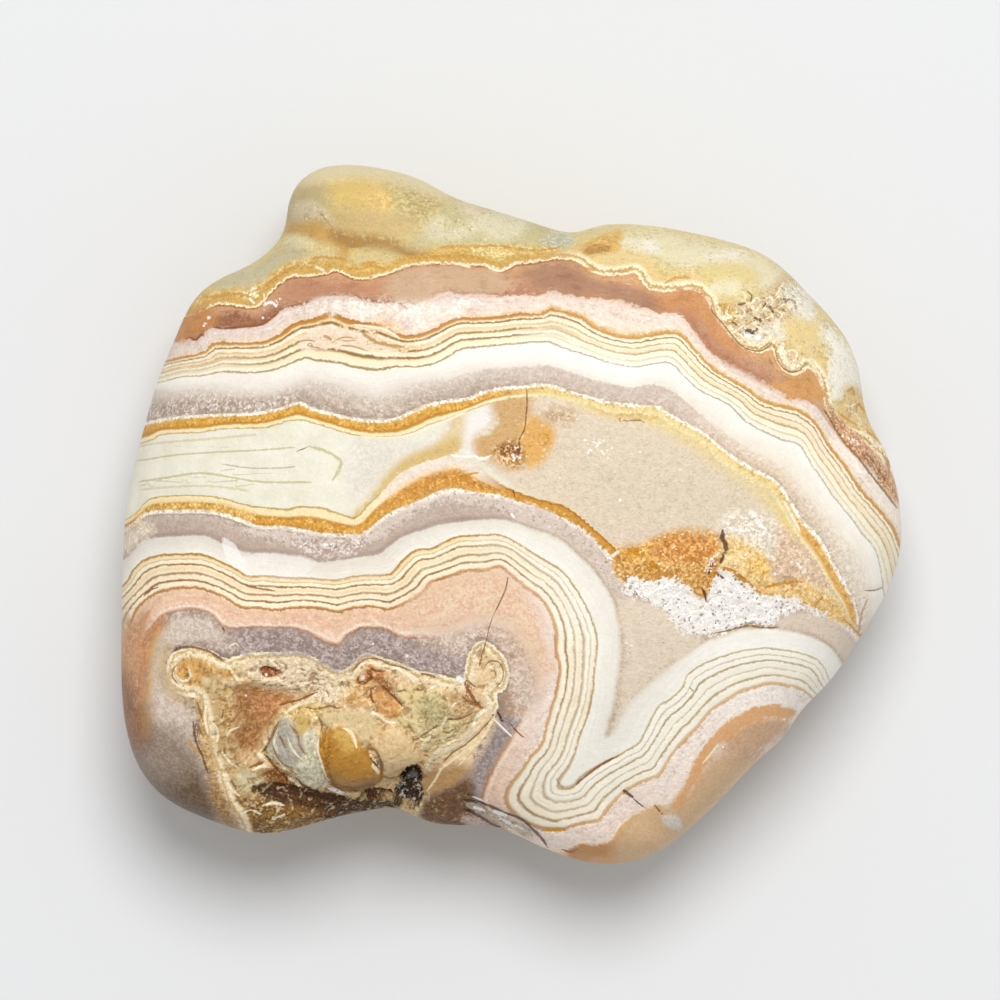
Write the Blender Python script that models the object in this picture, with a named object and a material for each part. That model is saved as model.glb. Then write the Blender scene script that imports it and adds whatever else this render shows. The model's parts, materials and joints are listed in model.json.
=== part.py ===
"""A water-worn fortification agate pebble, modelled in Blender as one solid.

Metres, +Z up. The stone lies on its underside with its banded face up. The origin is at the
middle of its plan, on the plane that it rests on. The plan and the places on the face were read
from a photograph of 1000 x 1000 pixels, looking straight down, so they are written in its pixels
and turned into metres by one scale. Heights and depths are in metres.
"""

import math

import bmesh
import bpy
import numpy as np
from mathutils import Vector, noise

# Driving dimensions in metres
WIDTH = 0.058
CROWN = 0.0128
KEEL = 0.0108
WORN_OFF = 0.0012

# The photograph's frame
LEFT_EDGE, RIGHT_EDGE = 121, 902
MIDDLE_X, MIDDLE_Y = 511.5, 514.5
PIXEL = WIDTH / (RIGHT_EDGE - LEFT_EDGE)

# How round the form is: a higher power makes a flatter sheet with a tighter shoulder
FACE_POWERS = (2.9, 2.05)
UNDERSIDE_POWERS = (2.5, 1.9)
SHOULDER = 0.86
FACE_TILT = (0.035, 0.05)
GIRDLE_WAVES = ((2, 0.0007, 0.6), (3, 0.0005, 2.1))
REST_BLEND = 0.0005
REST_SNAP = 0.00003

# Relief grows from nothing at the girdle to its full height at this share of the crown
RELIEF_FULL_AT = 0.62

# The outline's small dents fade out towards the middle: how wide they are, and how fast they go
DENT_SPREAD = math.radians(13)
DENT_FADE = 5

# The mesh before it is thinned, and what is left of it
SHEET_CUTS = 111
FLANK_CUTS = 31
SMOOTHINGS = 5
NEAR = 1e-6
KEPT_TRIANGLES = 9600
LOOP_STEPS = 12
BEARINGS = 720

# Slow lumps all over the worn stone: size and height in metres
LUMPS = ((0.024, 0.0009), (0.0085, 0.00018))

# The girdle seen from above, clockwise from the left side
OUTLINE = (
    (126, 545), (131, 500), (141, 455), (152, 413), (163, 375), (178, 338), (188, 312),
    (202, 292), (225, 277), (250, 267), (270, 252), (283, 239), (288, 227), (288, 212),
    (291, 196), (302, 181), (318, 171), (342, 167), (375, 169), (408, 175), (432, 185),
    (452, 197), (485, 207), (525, 220), (558, 232), (575, 237), (591, 230), (618, 228),
    (660, 233), (705, 242), (748, 252), (776, 265), (800, 285), (830, 313), (852, 341),
    (863, 370), (866, 398), (873, 423), (888, 446), (897, 475), (902, 515), (900, 552),
    (886, 592), (860, 637), (830, 681), (803, 707), (782, 738), (752, 763), (715, 802),
    (680, 833), (650, 854), (612, 862), (572, 857), (540, 845), (510, 830), (480, 822),
    (445, 822), (415, 814), (398, 805), (385, 804), (362, 811), (330, 815), (290, 826),
    (255, 829), (222, 820), (185, 806), (158, 788), (137, 758), (125, 715), (121, 665),
    (122, 600),
)  # fmt: skip

# Swellings and dishes on the face: centre and half widths in pixels, turn in degrees, height
MOUNDS = {
    "knob": ((372, 203), (74, 26), -9, 0.0013),
    "knob tail": ((500, 226), (50, 12), -17, 0.0004),
    "right lobe": ((790, 305), (75, 38), -42, 0.0009),
    "end of the right lobe": ((600, 240), (24, 9), 10, 0.0006),
    "lower left lobe": ((168, 735), (42, 62), 15, 0.0016),
    "lower right lobe": ((735, 760), (105, 34), 45, 0.0010),
    "bottom lobe": ((610, 838), (60, 16), 0, 0.0008),
    "host rock hollow": ((322, 742), (92, 52), 5, -0.0021),
    "pink dish": ((272, 700), (34, 26), 30, -0.0006),
    "amber lump": ((345, 752), (25, 32), 12, 0.0019),
    "grey lump": ((296, 748), (17, 32), 25, 0.0012),
    "green slope": ((432, 716), (40, 24), 30, 0.0011),
    "cream shoulder": ((398, 752), (24, 22), 0, 0.0009),
    "bottom sill": ((262, 806), (60, 13), -4, 0.0009),
    "druse hollow": ((700, 596), (62, 22), -8, -0.0003),
    "small vug": ((409, 786), (12, 13), 0, -0.0018),
}

# Creases on the face: path in pixels, half width in pixels, depth in metres
GROOVES = {
    "fold under the knob": (
        ((284, 226), (312, 226), (345, 236), (400, 246), (470, 250), (545, 247), (577, 238)),
        12,
        0.0009,
    ),
    "notch on the right": (((872, 404), (850, 418), (838, 436)), 11, 0.0006),
    "crevice under the grey lump": (((262, 793), (300, 797), (350, 800)), 8, 0.0007),
    "crevice under the amber lump": (((326, 778), (350, 789), (396, 792)), 8, 0.0010),
    "seam across the hollow": (((262, 762), (272, 722), (290, 704), (318, 691)), 8, 0.0005),
}

# Chipped edges: path in pixels, the side on its right dropped, reach in pixels, drop in metres.
# The drop takes up the first few pixels beside the edge, and fades past the edge's ends.
LEDGES = {
    "chipped lip": (((462, 797), (505, 811), (530, 824), (552, 852)), 34, 0.0011),
    "notch in the lower right edge": (((642, 802), (664, 814), (690, 830)), 26, 0.0006),
}
LEDGE_SLOPE = 9
LEDGE_END = 14

STONE = "agate_pebble"
STONE_COLOUR = (0.80, 0.64, 0.45, 1.0)
STONE_ROUGHNESS = 0.38


def clear_scene():
    for leftover in list(bpy.data.objects):
        bpy.data.objects.remove(leftover, do_unlink=True)


def plan(pixels):
    """Places in the photograph as metres on the stone's plan."""
    at = np.array(pixels, float)
    return (at - (MIDDLE_X, MIDDLE_Y)) * (PIXEL, -PIXEL)


def ease(amount):
    """A smooth step from 0 to 1."""
    t = np.clip(amount, 0.0, 1.0)
    return t * t * (3 - 2 * t)


def smooth_loop(points):
    """A closed Catmull-Rom curve through the points."""
    before, here = np.roll(points, 1, axis=0), points
    after, beyond = np.roll(points, -1, axis=0), np.roll(points, -2, axis=0)
    t = np.linspace(0, 1, LOOP_STEPS, endpoint=False)[:, None, None]
    loop = 0.5 * (
        2 * here
        + (after - before) * t
        + (2 * before - 5 * here + 4 * after - beyond) * t**2
        + (3 * here - before - 3 * after + beyond) * t**3
    )
    return loop.transpose(1, 0, 2).reshape(-1, 2)


def girdle_reach(bearing, out):
    """How far a ring of the form is from the middle, before it is scaled by its share `out`."""
    loop = smooth_loop(plan(OUTLINE))
    bearings = np.arctan2(loop[:, 1], loop[:, 0])
    order = np.argsort(bearings)
    reach = np.hypot(loop[:, 0], loop[:, 1])
    around = np.linspace(-math.pi, math.pi, BEARINGS, endpoint=False)
    exact = np.interp(around, bearings[order], reach[order], period=2 * math.pi)
    turns = np.abs(around[:, None] - around[None, :])
    weights = np.exp(-0.5 * (np.minimum(turns, 2 * math.pi - turns) / DENT_SPREAD) ** 2)
    undented = weights @ exact / weights.sum(1)
    at_rim = np.interp(bearing, around, exact, period=2 * math.pi)
    inside = np.interp(bearing, around, undented, period=2 * math.pi)
    return inside + (at_rim - inside) * out**DENT_FADE


def distance_along(at, path):
    """Distance to a path, which side of it (+1 on the right), and how far past its ends."""
    nearest = np.full(len(at), np.inf)
    side = np.zeros(len(at))
    overrun = np.zeros(len(at))
    for start, end in zip(path[:-1], path[1:], strict=True):
        run = end - start
        share = (at - start) @ run / (run @ run)
        foot = start + np.clip(share, 0, 1)[:, None] * run
        gap = np.hypot(*(at - foot).T)
        closer = gap < nearest
        turn = run[1] * (at - start)[:, 0] - run[0] * (at - start)[:, 1]
        side[closer] = np.sign(turn)[closer]
        past = np.maximum(np.abs(share - 0.5) - 0.5, 0) * math.sqrt(run @ run)
        overrun[closer] = past[closer]
        nearest = np.minimum(nearest, gap)
    return nearest, side, overrun


def mound_heights(at):
    height = np.zeros(len(at))
    for centre, half_widths, turn, rise in MOUNDS.values():
        c, s = math.cos(math.radians(turn)), math.sin(math.radians(turn))
        across = (at - plan(centre)) @ np.array(((c, -s), (s, c)))
        height += rise * np.exp(-0.5 * ((across / (np.array(half_widths) * PIXEL)) ** 2).sum(1))
    return height


def groove_depths(at):
    depth = np.zeros(len(at))
    for path, half_width, drop in GROOVES.values():
        gap, _, _ = distance_along(at, plan(path))
        depth += drop * np.exp(-0.5 * (gap / (half_width * PIXEL)) ** 2)
    return depth


def ledge_drops(at):
    drop = np.zeros(len(at))
    for path, reach, fall in LEDGES.values():
        gap, side, overrun = distance_along(at, plan(path))
        over_edge = ease(gap * side / (LEDGE_SLOPE * PIXEL))
        fading = 1 - ease(gap / (reach * PIXEL))
        drop += fall * over_edge * fading * (1 - ease(overrun / (LEDGE_END * PIXEL)))
    return drop


def pillow_grid():
    """A cube cut into quads: its top and bottom become the face and the underside."""
    grid = bmesh.new()
    bmesh.ops.create_cube(grid, size=2)
    for axis, cuts in ((0, SHEET_CUTS), (1, SHEET_CUTS), (2, FLANK_CUTS)):
        whole = [e for e in grid.edges if abs((e.verts[0].co - e.verts[1].co)[axis]) > 1]
        bmesh.ops.subdivide_edges(grid, edges=whole, cuts=cuts, use_grid_fill=True)
    return grid


def pillow_form(corner):
    """The cube's points moved to the rounded form, and each one's share of the face's relief."""
    a, b, c = corner.T
    u, v = a * np.sqrt(1 - b**2 / 2), b * np.sqrt(1 - a**2 / 2)
    bearing = np.arctan2(v, u)
    on_sheet = np.abs(c) > 1 - NEAR
    upper = c > 0
    along = np.where(upper, FACE_POWERS[0], UNDERSIDE_POWERS[0])
    rise = np.where(upper, FACE_POWERS[1], UNDERSIDE_POWERS[1])
    edge = np.arcsin(SHOULDER ** (along / 2))
    turn = edge + (1 - np.abs(c)) * (math.pi / 2 - edge)
    out = np.where(on_sheet, SHOULDER * np.hypot(u, v), np.sin(turn) ** (2 / along))
    lift = np.where(on_sheet, (1 - out**along) ** (1 / rise), np.cos(turn) ** (2 / rise))
    lift = np.where(np.abs(c) < NEAR, 0.0, lift)
    reach = girdle_reach(bearing, out) * out
    x, y = reach * np.cos(bearing), reach * np.sin(bearing)
    z = lift * np.where(upper, CROWN, -KEEL)
    z += np.where(upper, lift * (FACE_TILT[0] * x + FACE_TILT[1] * y), 0)
    for waves, height, phase in GIRDLE_WAVES:
        z += height * np.sin(waves * bearing + phase) * out**2
    return np.stack((x, y, z), axis=1), np.where(upper, ease(lift / RELIEF_FULL_AT), 0)


def lump_heights(points):
    height = np.zeros(len(points))
    for size, rise in LUMPS:
        height += [rise * noise.noise(Vector(p) / size) for p in points]
    return height


def rest_level(z):
    """The underside worn flat: everything under the rest plane comes up to it."""
    over = z - (-KEEL + WORN_OFF)
    rounded = (over + REST_BLEND) ** 2 / (4 * REST_BLEND)
    return np.where(over > REST_BLEND, over, np.where(over < -REST_BLEND, 0, rounded))


def make_stone(collection):
    grid = pillow_grid()
    corners = np.array([v.co for v in grid.verts])
    points, faceward = pillow_form(corners)
    for vert, point in zip(grid.verts, points, strict=True):
        vert.co = point
    for _ in range(SMOOTHINGS):
        bmesh.ops.smooth_vert(
            grid, verts=grid.verts, factor=0.5, use_axis_x=True, use_axis_y=True, use_axis_z=True
        )
    points = np.array([v.co for v in grid.verts])
    bmesh.ops.recalc_face_normals(grid, faces=grid.faces)
    grid.normal_update()
    normals = np.array([v.normal for v in grid.verts])
    at = points[:, :2]
    relief = mound_heights(at) - groove_depths(at) - ledge_drops(at)
    points = points + normals * (lump_heights(points) + relief * faceward)[:, None]
    points[:, 2] = rest_level(points[:, 2])
    points[:, :2] -= (points[:, :2].max(0) + points[:, :2].min(0)) / 2
    for vert, point in zip(grid.verts, points, strict=True):
        vert.co = point
    fine = bpy.data.meshes.new("fine stone")
    grid.to_mesh(fine)
    grid.free()
    stone = bpy.data.objects.new(STONE, thinned(fine, collection))
    stone.data.materials.append(stone_material())
    collection.objects.link(stone)


def thinned(fine, collection):
    """The fine mesh with fewer triangles, and its rest face made exactly flat again."""
    holder = bpy.data.objects.new("fine stone", fine)
    collection.objects.link(holder)
    thinning = holder.modifiers.new("thin to a working mesh", "DECIMATE")
    thinning.ratio = KEPT_TRIANGLES / (2 * len(fine.polygons))
    thinning.use_collapse_triangulate = True
    graph = bpy.context.evaluated_depsgraph_get()
    mesh = bpy.data.meshes.new_from_object(holder.evaluated_get(graph))
    bpy.data.objects.remove(holder, do_unlink=True)
    bpy.data.meshes.remove(fine)
    mesh.name = STONE
    for vertex in mesh.vertices:
        if vertex.co.z < REST_SNAP:
            vertex.co.z = 0
    mesh.shade_smooth()
    return mesh


def stone_material():
    material = bpy.data.materials.new("banded agate")
    material.use_nodes = True
    shader = material.node_tree.nodes["Principled BSDF"]
    shader.inputs["Base Color"].default_value = STONE_COLOUR
    shader.inputs["Roughness"].default_value = STONE_ROUGHNESS
    shader.inputs["Metallic"].default_value = 0.0
    return material


def main():
    clear_scene()
    parts = bpy.data.collections.new("agate pebble")
    bpy.context.scene.collection.children.link(parts)
    make_stone(parts)


main()
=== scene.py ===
"""The looks of a fortification agate pebble: its bands, its quartz, its host rock and its light.

The stone's bands are contours drawn over the photograph, in its pixels. Between one contour and
the next the bands run evenly, so one number, the layer, tells how far out from the middle of the
fortification a point is: it is 1 to 7 on the contours above the middle, -1 to -7 on those below it.
The material turns layers, patches and cracks into colour and roughness.
"""

import json
import math

import bmesh
import bpy
import numpy as np
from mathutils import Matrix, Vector, kdtree, noise

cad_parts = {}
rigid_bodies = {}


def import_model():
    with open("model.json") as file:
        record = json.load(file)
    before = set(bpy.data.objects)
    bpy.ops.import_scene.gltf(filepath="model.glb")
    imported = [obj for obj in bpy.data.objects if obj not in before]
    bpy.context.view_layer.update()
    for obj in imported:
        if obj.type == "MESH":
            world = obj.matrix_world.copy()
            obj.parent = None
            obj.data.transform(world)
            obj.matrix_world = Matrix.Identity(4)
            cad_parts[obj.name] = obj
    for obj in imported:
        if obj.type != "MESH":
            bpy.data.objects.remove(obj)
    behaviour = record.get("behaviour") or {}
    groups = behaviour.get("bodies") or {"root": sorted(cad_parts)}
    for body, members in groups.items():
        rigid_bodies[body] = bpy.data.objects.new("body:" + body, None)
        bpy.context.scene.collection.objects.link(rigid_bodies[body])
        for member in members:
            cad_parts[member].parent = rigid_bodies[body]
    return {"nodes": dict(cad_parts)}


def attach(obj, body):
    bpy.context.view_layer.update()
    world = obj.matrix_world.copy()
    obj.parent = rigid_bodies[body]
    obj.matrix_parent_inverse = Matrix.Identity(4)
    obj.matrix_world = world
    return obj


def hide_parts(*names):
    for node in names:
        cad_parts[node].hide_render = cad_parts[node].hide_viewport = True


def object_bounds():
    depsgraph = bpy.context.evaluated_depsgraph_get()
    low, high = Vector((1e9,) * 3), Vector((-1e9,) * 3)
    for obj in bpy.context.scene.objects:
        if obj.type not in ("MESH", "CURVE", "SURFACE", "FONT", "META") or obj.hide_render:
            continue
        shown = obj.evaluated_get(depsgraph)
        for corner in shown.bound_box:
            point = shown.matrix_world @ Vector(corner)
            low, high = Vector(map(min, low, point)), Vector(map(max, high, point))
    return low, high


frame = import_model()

STONE = "agate_pebble"
CAD_LOW, CAD_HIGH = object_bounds()

# The photograph's frame, in its own pixels, and the metres that one pixel spans at the girdle
PHOTO_SIDE = 1000
LEFT_EDGE, RIGHT_EDGE = 121, 902
MIDDLE = np.array((511.5, 514.5))
PIXEL = (CAD_HIGH.x - CAD_LOW.x) / (RIGHT_EDGE - LEFT_EDGE)
GIRDLE = 0.0096
CAMERA_RISE = 0.90

# The fine surface: its mesh in metres, the smoothing rounds, and where faces count as upward
VOXEL = 0.00057
SMOOTHINGS = 6
FINE_SMOOTHINGS = 3
FACE_UP = 0.12

# The curves through listed points, and how many pixels a layer takes past the last contour
CURVE_STEPS = 3
RIM_STEP = 60
FAR = 1400

# In pixels: how far off a patch or a mark is still measured, how far a patch's colour runs past its
# cover, and from what length a mark has tapered ends
PATCH_MARGIN, MARK_MARGIN = 30, 14
BLEED = 3
LONG_MARK = 14

# How far the map spreads the steep edge, in metres, and where its two islands start and end
MAP_PUSH = 0.005
FACE_ISLAND, BACK_ISLAND = (0.36, 0.99), (0.01, 0.34)

# How wide the clouds and grains of the paint are, in metres
GRAIN, FINE, MIDDLING, BROAD, SLOW = 0.00016, 0.00013, 0.00050, 0.0018, 0.006

# How high the rough rock, the sugary crust and the beads past the second layer stand, in metres
CRAG_RISE, SUGAR_RISE, BEAD_RISE = 0.00014, 0.00006, 0.00003

# How wide these are, in metres: the rock's small crags, folds and creases, the crust and the beads
CRAG_SIZE, FOLD_SIZE, CREASE_SIZE = 0.00042, 0.0011, 0.0012
SUGAR_SIZE, BEAD_SIZE = 0.00045, 0.00055

# Where the relief starts on the face, in metres over the base, and at which layers the host rock
# starts and the beads are
FACE_START, HOST_START, BEADS_AT = 0.6 * GIRDLE, 7.04, 2.35

# Noise drawn out along the bands: its length in pixels, how often it changes in a layer, and a
# number that sets it apart from the others; then how long a scallop is, in pixels
STREAKS, FIBRES, LAMINAE = (38, 7.5, 0.0), (2.4, 1.6, 5.0), (60, 26, 9.0)
SCALLOP = 5.0

# The shine: how rough smooth stone is and what grit adds, how strong and, in metres, how deep the
# bumps of the grain are, and the refraction and gloss of chalcedony
SMOOTH_ROUGHNESS, GRIT_ROUGHNESS = 0.36, 0.22
BUMP_STRENGTH, BUMP_DEPTH = 0.7, 0.00005
REFRACTION, GLOSS = 1.54, 0.2

# The studio, in metres and watts
FLOOR_REACH = 1.5
CARD = (226, 227, 228)
WINDOW_PLACE = (0.04, 0.35, 0.82)
WINDOW_WIDTH, WINDOW_POWER = 0.45, 5.6
ROOM_LIGHT = 0.5

# How the pattern goes on round the back: turned, moved and scaled in pixels by the base
BACK_TURN = math.radians(24)
BACK_MOVE = np.array((46.0, -38.0))
BACK_SCALE = 0.93
BACK_WAVE = 26
BACK_WAVE_SIZE = 0.016

# Contours over the middle of the fortification, from the middle outwards. Each goes from left to
# right, and has two numbers to a point: across and down the photograph.
ABOVE = (
    (110,452, 151,440, 162,434, 200,432, 228,428, 264,427, 297,419, 326,426, 356,435, 382,437, 403,435,
     418,430, 433,423, 456,416, 470,410, 500,400, 530,396, 560,398, 591,404, 613,412, 640,413, 659,415,
     672,425, 688,433, 705,443, 721,460, 742,474, 758,484, 769,490, 780,505, 791,524, 799,538, 812,554,
     820,566, 829,583, 840,600, 848,618, 858,645, 890,700),
    (112,430, 153,421, 177,417, 203,415, 228,414, 254,413, 280,408, 300,402, 313,409, 331,413, 346,417,
     367,420, 387,420, 403,415, 423,406, 444,401, 469,398, 480,393, 500,388, 516,387, 548,384, 565,390,
     592,398, 608,402, 635,405, 656,406, 664,411, 683,422, 705,434, 726,451, 748,466, 769,476, 779,484,
     791,502, 804,522, 820,538, 833,562, 845,584, 853,597, 858,614, 862,632, 895,690),
    (115,391, 155,390, 177,391, 203,389, 228,391, 254,392, 280,390, 305,381, 331,383, 356,391, 377,396,
     403,388, 428,381, 459,376, 485,369, 500,368, 525,366, 548,365, 570,371, 592,379, 613,384, 635,387,
     651,384, 672,390, 694,408, 715,427, 737,442, 758,454, 780,466, 801,489, 818,508, 834,527, 850,546,
     862,565, 868,588, 872,612, 905,680),
    (120,391, 163,382, 180,377, 200,376, 223,372, 254,373, 280,368, 305,358, 315,361, 338,363, 356,368,
     380,370, 395,367, 418,367, 436,363, 451,355, 461,349, 480,347, 500,345, 524,343, 548,342, 565,349,
     589,356, 613,364, 637,367, 653,364, 670,363, 683,375, 699,390, 718,399, 732,407, 745,421, 761,430,
     783,440, 799,444, 810,462, 823,481, 836,500, 852,519, 861,533, 874,548, 880,567, 883,586, 888,610,
     915,670),
    (130,370, 172,359, 190,355, 205,351, 212,343, 228,342, 262,341, 280,333, 295,322, 313,318, 332,311,
     344,317, 359,321, 380,323, 397,332, 408,335, 428,331, 446,322, 459,317, 477,317, 500,316, 516,313,
     540,313, 550,308, 565,311, 583,317, 594,326, 610,333, 632,337, 651,334, 664,332, 678,332, 688,340,
     702,357, 715,369, 734,381, 750,390, 761,399, 777,404, 793,407, 804,412, 818,425, 828,443, 839,457,
     850,472, 861,489, 874,503, 888,519, 897,535, 905,560, 930,640),
    (135,352, 177,341, 187,338, 196,340, 203,335, 210,327, 223,327, 244,326, 259,324, 269,318, 280,310,
     295,307, 305,305, 318,297, 331,296, 351,296, 364,301, 381,304, 395,303, 408,310, 418,302, 431,297,
     444,290, 459,294, 485,295, 500,296, 514,295, 540,295, 551,290, 570,295, 592,298, 613,299, 640,305,
     661,313, 678,313, 686,322, 699,338, 713,355, 729,363, 748,372, 767,383, 785,394, 804,400, 818,408,
     828,422, 842,438, 855,451, 869,468, 885,484, 901,505, 945,560),
    (140,328, 186,316, 203,312, 213,305, 228,304, 249,308, 259,306, 264,301, 269,294, 280,283, 292,276,
     313,276, 326,273, 338,270, 351,278, 364,279, 377,276, 387,273, 400,268, 415,264, 441,263, 467,265,
     485,265, 500,270, 508,268, 516,263, 532,262, 548,259, 565,258, 578,261, 594,272, 616,275, 635,272,
     643,282, 651,290, 672,291, 694,289, 703,295, 709,301, 711,310, 718,320, 726,331, 734,340, 745,348,
     758,352, 767,350, 772,346, 776,356, 781,366, 789,373, 798,374, 804,370, 808,366, 815,373, 822,387,
     824,403, 831,419, 845,435, 858,438, 877,454, 893,473, 901,489, 950,530),
)  # fmt: skip

# Contours under the middle of the fortification, in the same way
BELOW = (
    (90,540, 132,517, 141,508, 151,499, 177,496, 203,496, 223,499, 244,505, 264,508, 287,510, 300,507,
     320,508, 336,513, 351,518, 359,516, 367,506, 377,496, 387,486, 397,476, 413,466, 431,460, 451,455,
     465,457, 480,468, 500,484, 516,492, 540,500, 562,505, 578,516, 594,530, 608,543, 616,551, 623,566,
     632,572, 672,573, 690,580, 702,589, 713,580, 723,567, 737,572, 753,584, 769,589, 791,593, 804,597,
     823,605, 840,613, 852,624, 880,650),
    (90,552, 131,527, 141,518, 151,513, 177,512, 203,512, 223,515, 244,522, 259,528, 280,528, 300,531,
     320,535, 341,536, 361,537, 372,529, 387,517, 403,509, 418,504, 433,496, 444,492, 459,491, 477,495,
     500,497, 516,503, 532,508, 548,514, 567,522, 583,531, 597,544, 610,558, 616,569, 621,580, 632,582,
     672,582, 688,588, 702,598, 713,588, 723,574, 737,580, 753,593, 769,598, 791,602, 804,606, 823,614,
     840,622, 852,632, 880,665),
    (90,580, 128,555, 138,542, 151,537, 172,535, 203,534, 218,540, 233,546, 249,551, 269,551, 290,554,
     305,556, 320,561, 341,558, 361,555, 377,553, 390,544, 403,535, 423,528, 441,523, 464,520, 500,518,
     516,522, 532,528, 551,534, 565,542, 578,554, 591,566, 602,580, 613,598, 618,617, 621,636, 621,658,
     618,679, 616,695, 611,715, 606,733, 608,736, 613,728, 621,711, 629,698, 645,685, 656,674, 672,663,
     688,652, 705,641, 723,635, 742,629, 764,628, 783,629, 801,633, 818,639, 834,650, 842,663, 865,700),
    (90,615, 124,585, 133,570, 144,560, 159,555, 177,554, 200,554, 213,558, 226,564, 238,570, 249,576,
     269,576, 290,578, 310,578, 336,580, 356,576, 372,575, 390,574, 397,567, 408,555, 420,549, 431,549,
     444,542, 459,536, 480,535, 500,535, 514,541, 530,551, 546,561, 562,571, 573,585, 583,601, 591,617,
     597,636, 597,652, 594,674, 593,690, 589,711, 583,728, 578,741, 574,755, 567,768, 558,780, 558,787,
     566,789, 575,786, 583,776, 600,765, 616,757, 629,749, 637,745, 645,733, 651,720, 659,706, 672,698,
     683,687, 688,674, 705,663, 723,656, 742,651, 764,648, 785,650, 804,654, 818,660, 826,671, 830,682,
     850,715),
    (95,700, 128,646, 131,628, 136,613, 146,601, 159,594, 177,590, 197,590, 213,594, 228,601, 241,609,
     259,610, 277,612, 295,609, 313,609, 326,611, 338,614, 351,610, 369,608, 385,611, 395,610, 408,603,
     423,595, 433,583, 451,577, 469,572, 485,572, 500,568, 508,574, 524,588, 538,598, 548,612, 554,631,
     554,652, 558,668, 555,690, 550,706, 544,728, 540,744, 530,755, 519,771, 508,784, 503,800, 510,813,
     524,824, 540,830, 554,833, 567,830, 583,825, 600,822, 608,811, 618,800, 629,790, 645,782, 661,776,
     670,760, 683,744, 699,728, 713,711, 729,701, 742,693, 756,689, 769,685, 785,687, 799,690, 807,695,
     835,720),
    (80,770, 128,730, 137,705, 138,680, 138,654, 146,636, 154,623, 167,613, 185,609, 203,610, 213,615,
     223,626, 236,628, 251,626, 269,627, 290,627, 305,631, 318,638, 331,644, 341,644, 346,636, 361,628,
     377,627, 390,630, 403,638, 420,637, 450,640, 475,632, 500,628, 522,642, 535,666, 536,685, 532,701,
     524,714, 511,740, 496,765, 485,791, 484,806, 500,826, 528,844, 555,853, 573,854, 581,845, 594,847,
     610,843, 616,833, 626,822, 640,814, 659,806, 667,811, 675,798, 686,784, 694,768, 702,752, 713,736,
     723,725, 734,717, 750,710, 769,707, 783,709, 795,712, 830,745),
    (252,870, 240,822, 230,809, 222,790, 219,776, 213,763, 207,746, 204,728, 203,713, 197,697, 184,694,
     172,688, 167,676, 169,661, 177,651, 189,648, 203,649, 215,654, 226,660, 238,656, 254,653, 274,653,
     295,652, 310,656, 320,661, 331,668, 341,671, 351,667, 359,656, 369,653, 382,658, 397,663, 408,667,
     418,672, 433,674, 451,679, 464,680, 466,668, 469,654, 474,645, 485,641, 496,649, 504,658, 509,675,
     504,689, 495,694, 497,701, 496,710, 485,720, 480,729, 468,741, 457,748, 445,757, 438,769, 431,783,
     428,800, 426,870),
)  # fmt: skip


def colour(red, green, blue):
    """A colour given as it shows on a screen, 0 to 255, as the linear colour that a shader takes."""
    parts = np.array((red, green, blue)) / 255
    linear = np.where(parts > 0.04045, ((parts + 0.055) / 1.055) ** 2.4, parts / 12.92)
    return (*linear.tolist(), 1.0)


def ease(amount):
    """A smooth step from 0 at 0 to 1 at 1."""
    t = np.clip(amount, 0.0, 1.0)
    return t * t * (3 - 2 * t)


def pairs(numbers):
    """Points from a row of numbers, two to a point."""
    return np.array(numbers, float).reshape(-1, 2)


def smooth_path(numbers, closed=False):
    """A Catmull-Rom curve through the given points."""
    here = pairs(numbers)
    if len(here) == 1:
        return here
    before, after = np.roll(here, 1, axis=0), np.roll(here, -1, axis=0)
    beyond = np.roll(here, -2, axis=0)
    if not closed:
        before[0], after[-1] = here[0], here[-1]
        beyond[-2:] = here[-1]
    t = np.linspace(0, 1, CURVE_STEPS, endpoint=False)[:, None, None]
    curve = 0.5 * (
        2 * here
        + (after - before) * t
        + (2 * before - 5 * here + 4 * after - beyond) * t**2
        + (3 * here - before - 3 * after + beyond) * t**3
    )
    curve = curve.transpose(1, 0, 2).reshape(-1, 2)
    return curve if closed else np.vstack((curve[: 1 - CURVE_STEPS], here[-1:]))


def offset_from(at, path):
    """From each place to a path: the distance, the offset from its nearest point, and how far along."""
    if len(path) == 1:
        off = at - path
        return np.hypot(*off.T), off, np.zeros(len(at))
    tree = kdtree.KDTree(len(path))
    for index, (x, y) in enumerate(path):
        tree.insert((x, y, 0), index)
    tree.balance()
    closest = np.array([tree.find((x, y, 0))[1] for x, y in at], int)
    lengths = np.hypot(*np.diff(path, axis=0).T)
    starts = np.concatenate(([0], np.cumsum(lengths)))
    gap, off, along = np.full(len(at), np.inf), np.zeros((len(at), 2)), np.zeros(len(at))
    for step in (-1, 0):
        index = np.clip(closest + step, 0, len(path) - 2)
        run = path[index + 1] - path[index]
        away = at - path[index]
        share = np.clip((away * run).sum(1) / np.maximum((run * run).sum(1), 1e-9), 0, 1)
        away = away - share[:, None] * run
        apart = np.hypot(*away.T)
        nearer = apart < gap
        gap[nearer], off[nearer] = apart[nearer], away[nearer]
        along[nearer] = (starts[index] + share * lengths[index])[nearer]
    return gap, off, along


def inside(at, loop):
    """Which places a closed loop of points holds."""
    held = np.zeros(len(at), bool)
    x, y = at.T
    for (x0, y0), (x1, y1) in zip(loop, np.roll(loop, -1, axis=0), strict=True):
        if y0 == y1:
            continue
        crosses = (y0 > y) != (y1 > y)
        held ^= crosses & (x < (x1 - x0) * (y - y0) / (y1 - y0) + x0)
    return held


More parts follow.
